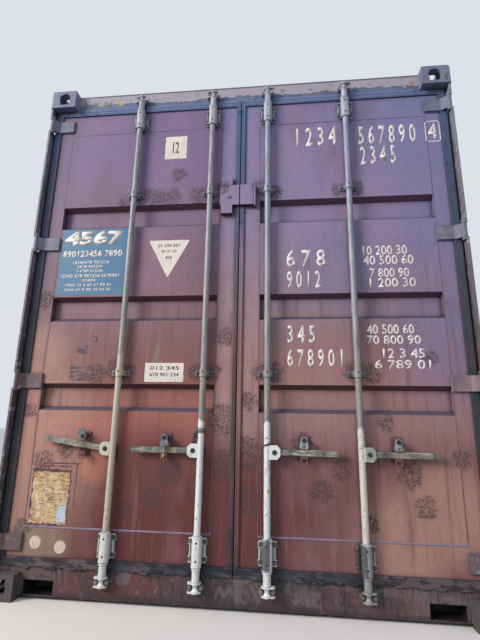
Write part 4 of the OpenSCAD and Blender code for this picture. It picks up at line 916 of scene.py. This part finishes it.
def add_seams(finish):
    """Weld seams where the door panels meet the rails and stiles, and round the hinge blades."""
    for side, word in SIDES.items():
        inner, outer = side * 115, side * (1219 - 148)
        beads = [bead((inner, DOOR_FACE, 2600), (outer, DOOR_FACE, 2600), 6, 1.2, 20 + side),
                 bead((inner, DOOR_FACE, 325), (outer, DOOR_FACE, 325), 10, 1.8, 22 + side)]
        for i, x in enumerate((inner, outer)):
            beads.append(bead((x, DOOR_FACE, 325), (x, DOOR_FACE, 2600), 5, 1.0, 30 + i + side))
        piece(join(*beads), "panel_seams_" + word, "door_" + word, finish["weld"])

        beads = []
        near_x, far_x = side * (1219 - 150), side * (1219 - 72)
        for i, z in enumerate(HINGE_Z):
            for s in (-1, 1):
                beads.append(bead((near_x, DOOR_FACE - 1, z + s * 40), (far_x, DOOR_FACE - 1, z + s * 40), 8, 3,
                                  50 + i))
            beads.append(bead((near_x, DOOR_FACE - 1, z - 40), (near_x, DOOR_FACE - 1, z + 40), 8, 3, 60 + i))
        piece(join(*beads), "blade_welds_" + word, "door_" + word, finish["blade"])


def add_frame_welds(finish):
    """Weld beads where the posts, header and sill of the door end meet their castings."""
    beads = []
    for side in SIDES:
        for i, z in enumerate((118, 2778)):
            beads.append(bead((side * 1213, 10, z), (side * 1204, 108, z), 6, 3, 70 + i))
        beads.append(bead((side * 1057, 52, 2784), (side * 1057, 52, 2886), 7, 3, 80 + side))
        beads.append(bead((side * 1057, 52, 20), (side * 1057, 52, 116), 7, 3, 84 + side))
    piece(join(*beads), "frame_welds", "root", finish["post"])


def add_gasket_parts(finish):
    """Ribs along the gasket lips and torn flaps at their lower edge."""
    for side, word in SIDES.items():
        front = DOOR_FACE - LIP_PROUD
        ribs = []
        stops = [GASKET_LOW] + [z + s * 42 for z in HINGE_Z for s in (-1, 1)] + [GASKET_HIGH]
        for low, high in zip(stops[::2], stops[1::2]):
            ribs += [round_bar((side * x, front, low), (side * x, front, high), 1.6, 8) for x in (1186, 1160)]
        top = GASKET_HIGH + 12
        ribs += [round_bar((side * x, front, GASKET_LOW), (side * x, front, top), 1.6, 8) for x in (9, 21)]
        for z in (GASKET_LOW, GASKET_LOW + 24, GASKET_HIGH - 18, GASKET_HIGH):
            ribs.append(round_bar((side * 9, front, z), (side * 1186, front, z), 1.6, 8))
        piece(smooth(join(*ribs)), "gasket_ribs_" + word, "door_" + word, finish["rubber"])

        draw = random.Random(5 + side)
        hem = GASKET_LOW - 4
        flaps = []
        for _ in range(26):
            x = side * draw.uniform(60, 1140)
            wide, tall = draw.uniform(8, 46), draw.uniform(4, 13)
            flap = block((x, front - 1, hem - tall), (x + side * wide, front + 1.5, hem))
            eased(flap, 0.9, 1)
            only(flap)
            bpy.ops.transform.rotate(value=draw.uniform(-0.1, 0.1), orient_axis="X",
                                     center_override=metres(x, front, hem))
            flaps.append(shaken(settle(flap), draw, 2.2))
        piece(join(*flaps), "torn_gasket_" + word, "door_" + word, finish["rubber"])


def add_ties(finish):
    """Cable ties and bent wires left on bars 2 and 3, the seal at catch 2 and the loose washer."""
    x = BAR_X[2]
    tie = block((x - 17, 4.5, 805), (x + 17, 39.5, 817), 4.0, 3)
    eased(tie, 2, 2)
    piece(smooth(tie), "green_tie_2", "bar_2", finish["green"])
    loops = [ring_round_bar(x, z, 18.0, 1.5, 0.06 * i - 0.1) for i, z in enumerate((820, 808, 802))]
    ends = [([(-17, 14, 812), (-30, 10, 798), (-26, 12, 772), (-38, 14, 752), (-34, 16, 746)], 4.0),
        ([(-16, 10, 806), (-24, 8, 790), (-36, 12, 774), (-28, 14, 755), (-22, 12, 748)], 3.4),
        ([(-16, 12, 816), (-22, 10, 800), (-19, 9, 776), (-27, 10, 760), (-24, 12, 746)], 3.6),
        ([(16, 12, 810), (24, 14, 806), (22, 16, 796)], 1.5)]
    loops += [wire([(x + u, v, z) for u, v, z in points], radius) for points, radius in ends]
    piece(smooth(join(*loops), 60), "black_ties_2", "bar_2", finish["black"])

    x = BAR_X[3]
    loops = [ring_round_bar(x, 751, 18.5, 1.6, 0.25),
             wire([(x + 16, 8, 758), (x, 2.5, 752), (x - 20, 8, 742), (x - 29, 16, 730), (x - 26, 22, 718)], 1.8)]
    piece(smooth(join(*loops), 60), "black_wire_3", "bar_3", finish["black"])

    x = CATCH_X[2]
    seal = block((x - 9, 2.4, 719), (x + 9, 5.0, 742), 3.0, 2)
    piece(smooth(seal), "green_seal_2", "catch_2", finish["green"])
    tab = block((x - 5, 1.5, 676), (x + 5, 4.0, 696), 1.0, 2)
    strap = wire([(x, 3, 720), (x + 2, 2, 708), (x, 2.6, 694)], 1.4)
    piece(smooth(join(tab, strap)), "brass_tab_2", "catch_2", finish["gold"])

    washer = ring((-1171, 45, 2748), 9.5, 3.0)
    piece(smooth(washer), "loose_washer", "door_left", finish["bolt"])
    hook = wire([(8, 52, 2066), (20, 50, 2052), (14, 50, 2034), (26, 49, 2022), (34, 50, 2028)], 1.6)
    piece(smooth(hook, 60), "bent_wire", "door_right", finish["black"])


def add_vents(finish):
    """Louvres on the four vent covers."""
    fins = []
    for side in SIDES:
        for v in (1370, 10822):
            fins += [block((side * 1187, v - 24, 2524 + i * 28), (side * 1193, v + 24, 2534 + i * 28), 1.0, 1)
                     for i in range(6)]
    piece(join(*fins), "vent_louvres", "root", finish["vent"])


def add_floor_screws(finish):
    """Countersunk screws in rows over the cross members."""
    places = [(x, v, 170.2) for v in range(330, 12000, 310) for x in (-1080, -820, -560, -300, 300, 560, 820,
                                                                      1080)]
    head = round_bar((0, 0, -1.2), (0, 0, 0.4), 6, 10)
    screws = copies(to_origin(head), places)
    piece(screws, "floor_screws", "root", finish["bolt"])


def add_rivets(finish):
    """Rivets on the bar sleeves and the middle guides."""
    for side, word in SIDES.items():
        places = []
        for number in LEAF_BARS[side]:
            places += [(BAR_X[number], 2.6, z + s * 39) for z in BRACKET_Z for s in (-1, 1)]
            places += [(BAR_X[number], 2.6, z + 6) for z in GUIDE_Z]
        rivet = round_bar((0, -1.2, 0), (0, 2, 0), 5, 16)
        eased(rivet, 0.8, 2)
        rivets = copies(to_origin(rivet), places)
        piece(smooth(rivets), "sleeve_rivets_" + word, "door_" + word, finish["dark"])


def mark(low, high, proud=0.3, torn=0.0, seed=1, cuts=14):
    """A thin flat film on the door face, with a ragged outline."""
    a, b = metres(low[0], DOOR_FACE - proud, low[1]), metres(high[0], DOOR_FACE - proud, high[1])
    start()
    bpy.ops.mesh.primitive_plane_add(size=1, location=(a + b) / 2, rotation=(math.pi / 2, 0, 0))
    obj = bpy.context.object
    obj.scale = (abs(b.x - a.x), abs(b.z - a.z), 1)
    settle(obj)
    only(obj)
    bpy.ops.object.mode_set(mode="EDIT")
    bpy.ops.mesh.select_all(action="SELECT")
    bpy.ops.mesh.subdivide(number_cuts=cuts)
    bpy.ops.object.mode_set(mode="OBJECT")
    if torn:
        draw = random.Random(seed)
        left, right = min(a.x, b.x), max(a.x, b.x)
        bottom, top = min(a.z, b.z), max(a.z, b.z)
        for vertex in obj.data.vertices:
            c = vertex.co
            if min(abs(c.x - left), abs(c.x - right)) < 1e-5:
                c.x += draw.uniform(-1, 1) * torn / 1000
            if min(abs(c.z - bottom), abs(c.z - top)) < 1e-5:
                c.z += draw.uniform(-1, 1) * torn / 1000
    return finish_with(obj, "SOLIDIFY", thickness=0.00025, offset=-1)


def digits(text, x0, x1, z0, z1, proud=0.35, weight=0.02):
    """Plain digits cut as thin film, fitted to a box on the door face."""
    start()
    bpy.ops.object.text_add(location=(0, 0, 0))
    obj = bpy.context.object
    obj.data.body = text
    obj.data.size = 1.0
    obj.data.offset = weight
    obj.data.resolution_u = 3
    only(obj)
    bpy.ops.object.convert(target="MESH")
    obj = bpy.context.object
    xs = [v.co.x for v in obj.data.vertices]
    ys = [v.co.y for v in obj.data.vertices]
    wide, tall = (x1 - x0) / 1000, (z1 - z0) / 1000
    sx, sy = wide / (max(xs) - min(xs)), tall / (max(ys) - min(ys))
    face = metres(0, DOOR_FACE - proud, 0).y
    for vertex in obj.data.vertices:
        x, y = vertex.co.x, vertex.co.y
        vertex.co = (x0 / 1000 + (x - min(xs)) * sx, face, z0 / 1000 + (y - min(ys)) * sy)
    return finish_with(obj, "SOLIDIFY", thickness=0.0002, offset=-1)


def add_marks(finish):
    """The films and painted digits on the doors, with plain numbers where the real one has words."""
    left = [
        ("white_sticker", (-466, 2401), (-332, 2556), "sticker", 0.3, 1.0, 3),
        ("blue_panel", (-1056, 1546), (-634, 1954), "blue", 0.3, 2.5, 4),
        ("small_label", (-497, 1056), (-285, 1157), "sticker", 0.3, 1.0, 5),
        ("rubbed_plate", (-919, 1060), (-795, 1141), "rubbed", 0.3, 5.0, 6),
        ("rubbed_blot_1", (-884, 1212), (-836, 1250), "rubbed", 0.3, 9.0, 12),
        ("rubbed_blot_2", (-822, 1276), (-780, 1306), "rubbed", 0.3, 9.0, 13),
        ("film_rim", (-1053, 334), (-846, 603), "violet", 0.25, 6.0, 9),
        ("yellow_film", (-1047, 343), (-854, 588), "yellow", 0.45, 5.0, 7),
        ("blue_scrap", (-903, 351), (-860, 426), "pale_blue", 0.7, 3.0, 8),
        ("film_outline_1", (-1001, 629), (-806, 634), "violet", 0.3, 2.0, 14),
        ("film_outline_2", (-1001, 603), (-996, 632), "violet", 0.3, 2.0, 15),
        ("film_outline_3", (-822, 420), (-818, 632), "violet", 0.3, 2.0, 16),
        ("film_outline_4", (-985, 615), (-850, 619), "violet", 0.3, 2.0, 17),
    ]
    for name, low, high, kind, proud, torn, seed in left:
        piece(mark(low, high, proud, torn, seed), name, "door_left", finish[kind])

    start()
    bpy.ops.mesh.primitive_circle_add(vertices=3, radius=0.140, fill_type="NGON", rotation=(math.pi / 2, 0, 0))
    triangle = bpy.context.object
    settle(triangle)
    low, high = (-526, 1640), (-284, 1868)
    for vertex, spot in zip(triangle.data.vertices, ((low[0], high[1]), ((low[0] + high[0]) / 2, low[1]),
                                                     (high[0], high[1]))):
        vertex.co = metres(spot[0], DOOR_FACE - 0.3, spot[1])
    finish_with(triangle, "BEVEL", affect="VERTICES", width=0.012, segments=3)
    finish_with(triangle, "SOLIDIFY", thickness=0.00025, offset=-1)
    piece(triangle, "white_triangle", "door_left", finish["sticker"])

    for i, (x, z) in enumerate(((-1001, 254), (-869, 237))):
        disc = round_bar((x, DOOR_FACE - 0.4, z), (x, DOOR_FACE, z), 30, 40)
        eased(disc, 0.2, 1)
        piece(disc, "cream_disc_%d" % (i + 1), "door_left", finish["disc"])

    rows = [
        ("1 2 3 4", 330, 562, 2440, 2566), ("5 6 7 8 9 0", 688, 1011, 2430, 2556), ("4", 1078, 1128, 2446, 2550),
        ("2 3 4 5", 692, 892, 2300, 2420), ("6 7 8", 264, 478, 1684, 1788), ("9 0 1 2", 266, 448, 1564, 1664),
        ("3 4 5", 266, 410, 1262, 1358), ("6 7 8 9 0 1", 264, 548, 1136, 1232),
        ("10 200 30", 677, 911, 1745, 1800), ("40 500 60", 676, 940, 1688, 1744),
            ("7 800 90", 707, 912, 1616, 1670),
        ("1 200 30", 704, 943, 1562, 1614), ("40 500 60", 675, 913, 1308, 1360),
            ("70 800 90", 672, 942, 1254, 1302),
        ("12 3 45", 749, 957, 1183, 1233), ("6 789 01", 706, 982, 1127, 1175),
    ]
    drawn = [digits(*row) for row in rows]
    for low, high in (((1062, 2428), (1068, 2566)), ((1140, 2428), (1146, 2566)), ((1062, 2428), (1146, 2434)),
                      ((1062, 2560), (1146, 2566))):
        drawn.append(mark(low, high, 0.3, 0.4, 11, 3))
    piece(join(*drawn), "painted_digits_right", "door_right", finish["white"])

    panel_rows = [
        ("4567", -1040, -680, 1850, 1942, 0.6, 0.05), ("890123456 7890", -1040, -680, 1777, 1818, 0.6, 0.03),
        ("12345678 901234", -974, -756, 1734, 1754), ("5678 901234", -944, -790, 1709, 1727),
        ("5 6789 012345", -948, -786, 1682, 1700), ("12345 678 901234 5678901", -1038, -690, 1651, 1672),
        ("23456", -906, -826, 1626, 1643), ("7890 12 3 45 67 89 01", -1008, -732, 1598, 1614),
        ("2345 67 8 90 12 34 56", -1008, -732, 1570, 1586),
    ]
    drawn = [digits(*(row if len(row) > 5 else row + (0.6,))) for row in panel_rows]
    piece(join(*drawn), "painted_digits_left", "door_left", finish["sticker"])
    drawn = [digits("01 234 567", -470, -340, 1826, 1846, 0.6), digits("89 01 23", -448, -362, 1792, 1808, 0.6),
             digits("456", -425, -385, 1752, 1772, 0.6), digits("012 345", -470, -310, 1120, 1140, 0.6),
             digits("678 901 234", -470, -310, 1085, 1105, 0.6), digits("12", -420, -380, 2440, 2520, 0.6)]
    piece(join(*drawn), "small_digits_left", "door_left", finish["rubbed"])


place_camera()
build_studio()
finishes = make_finishes()
dress_nodes(finishes)
add_bolts(finishes)
add_rivets(finishes)
add_seams(finishes)
add_frame_welds(finishes)
add_gasket_parts(finishes)
add_vents(finishes)
add_floor_screws(finishes)
add_ties(finishes)
add_marks(finishes)

scene = bpy.context.scene
scene.view_settings.view_transform = "Standard"
start()
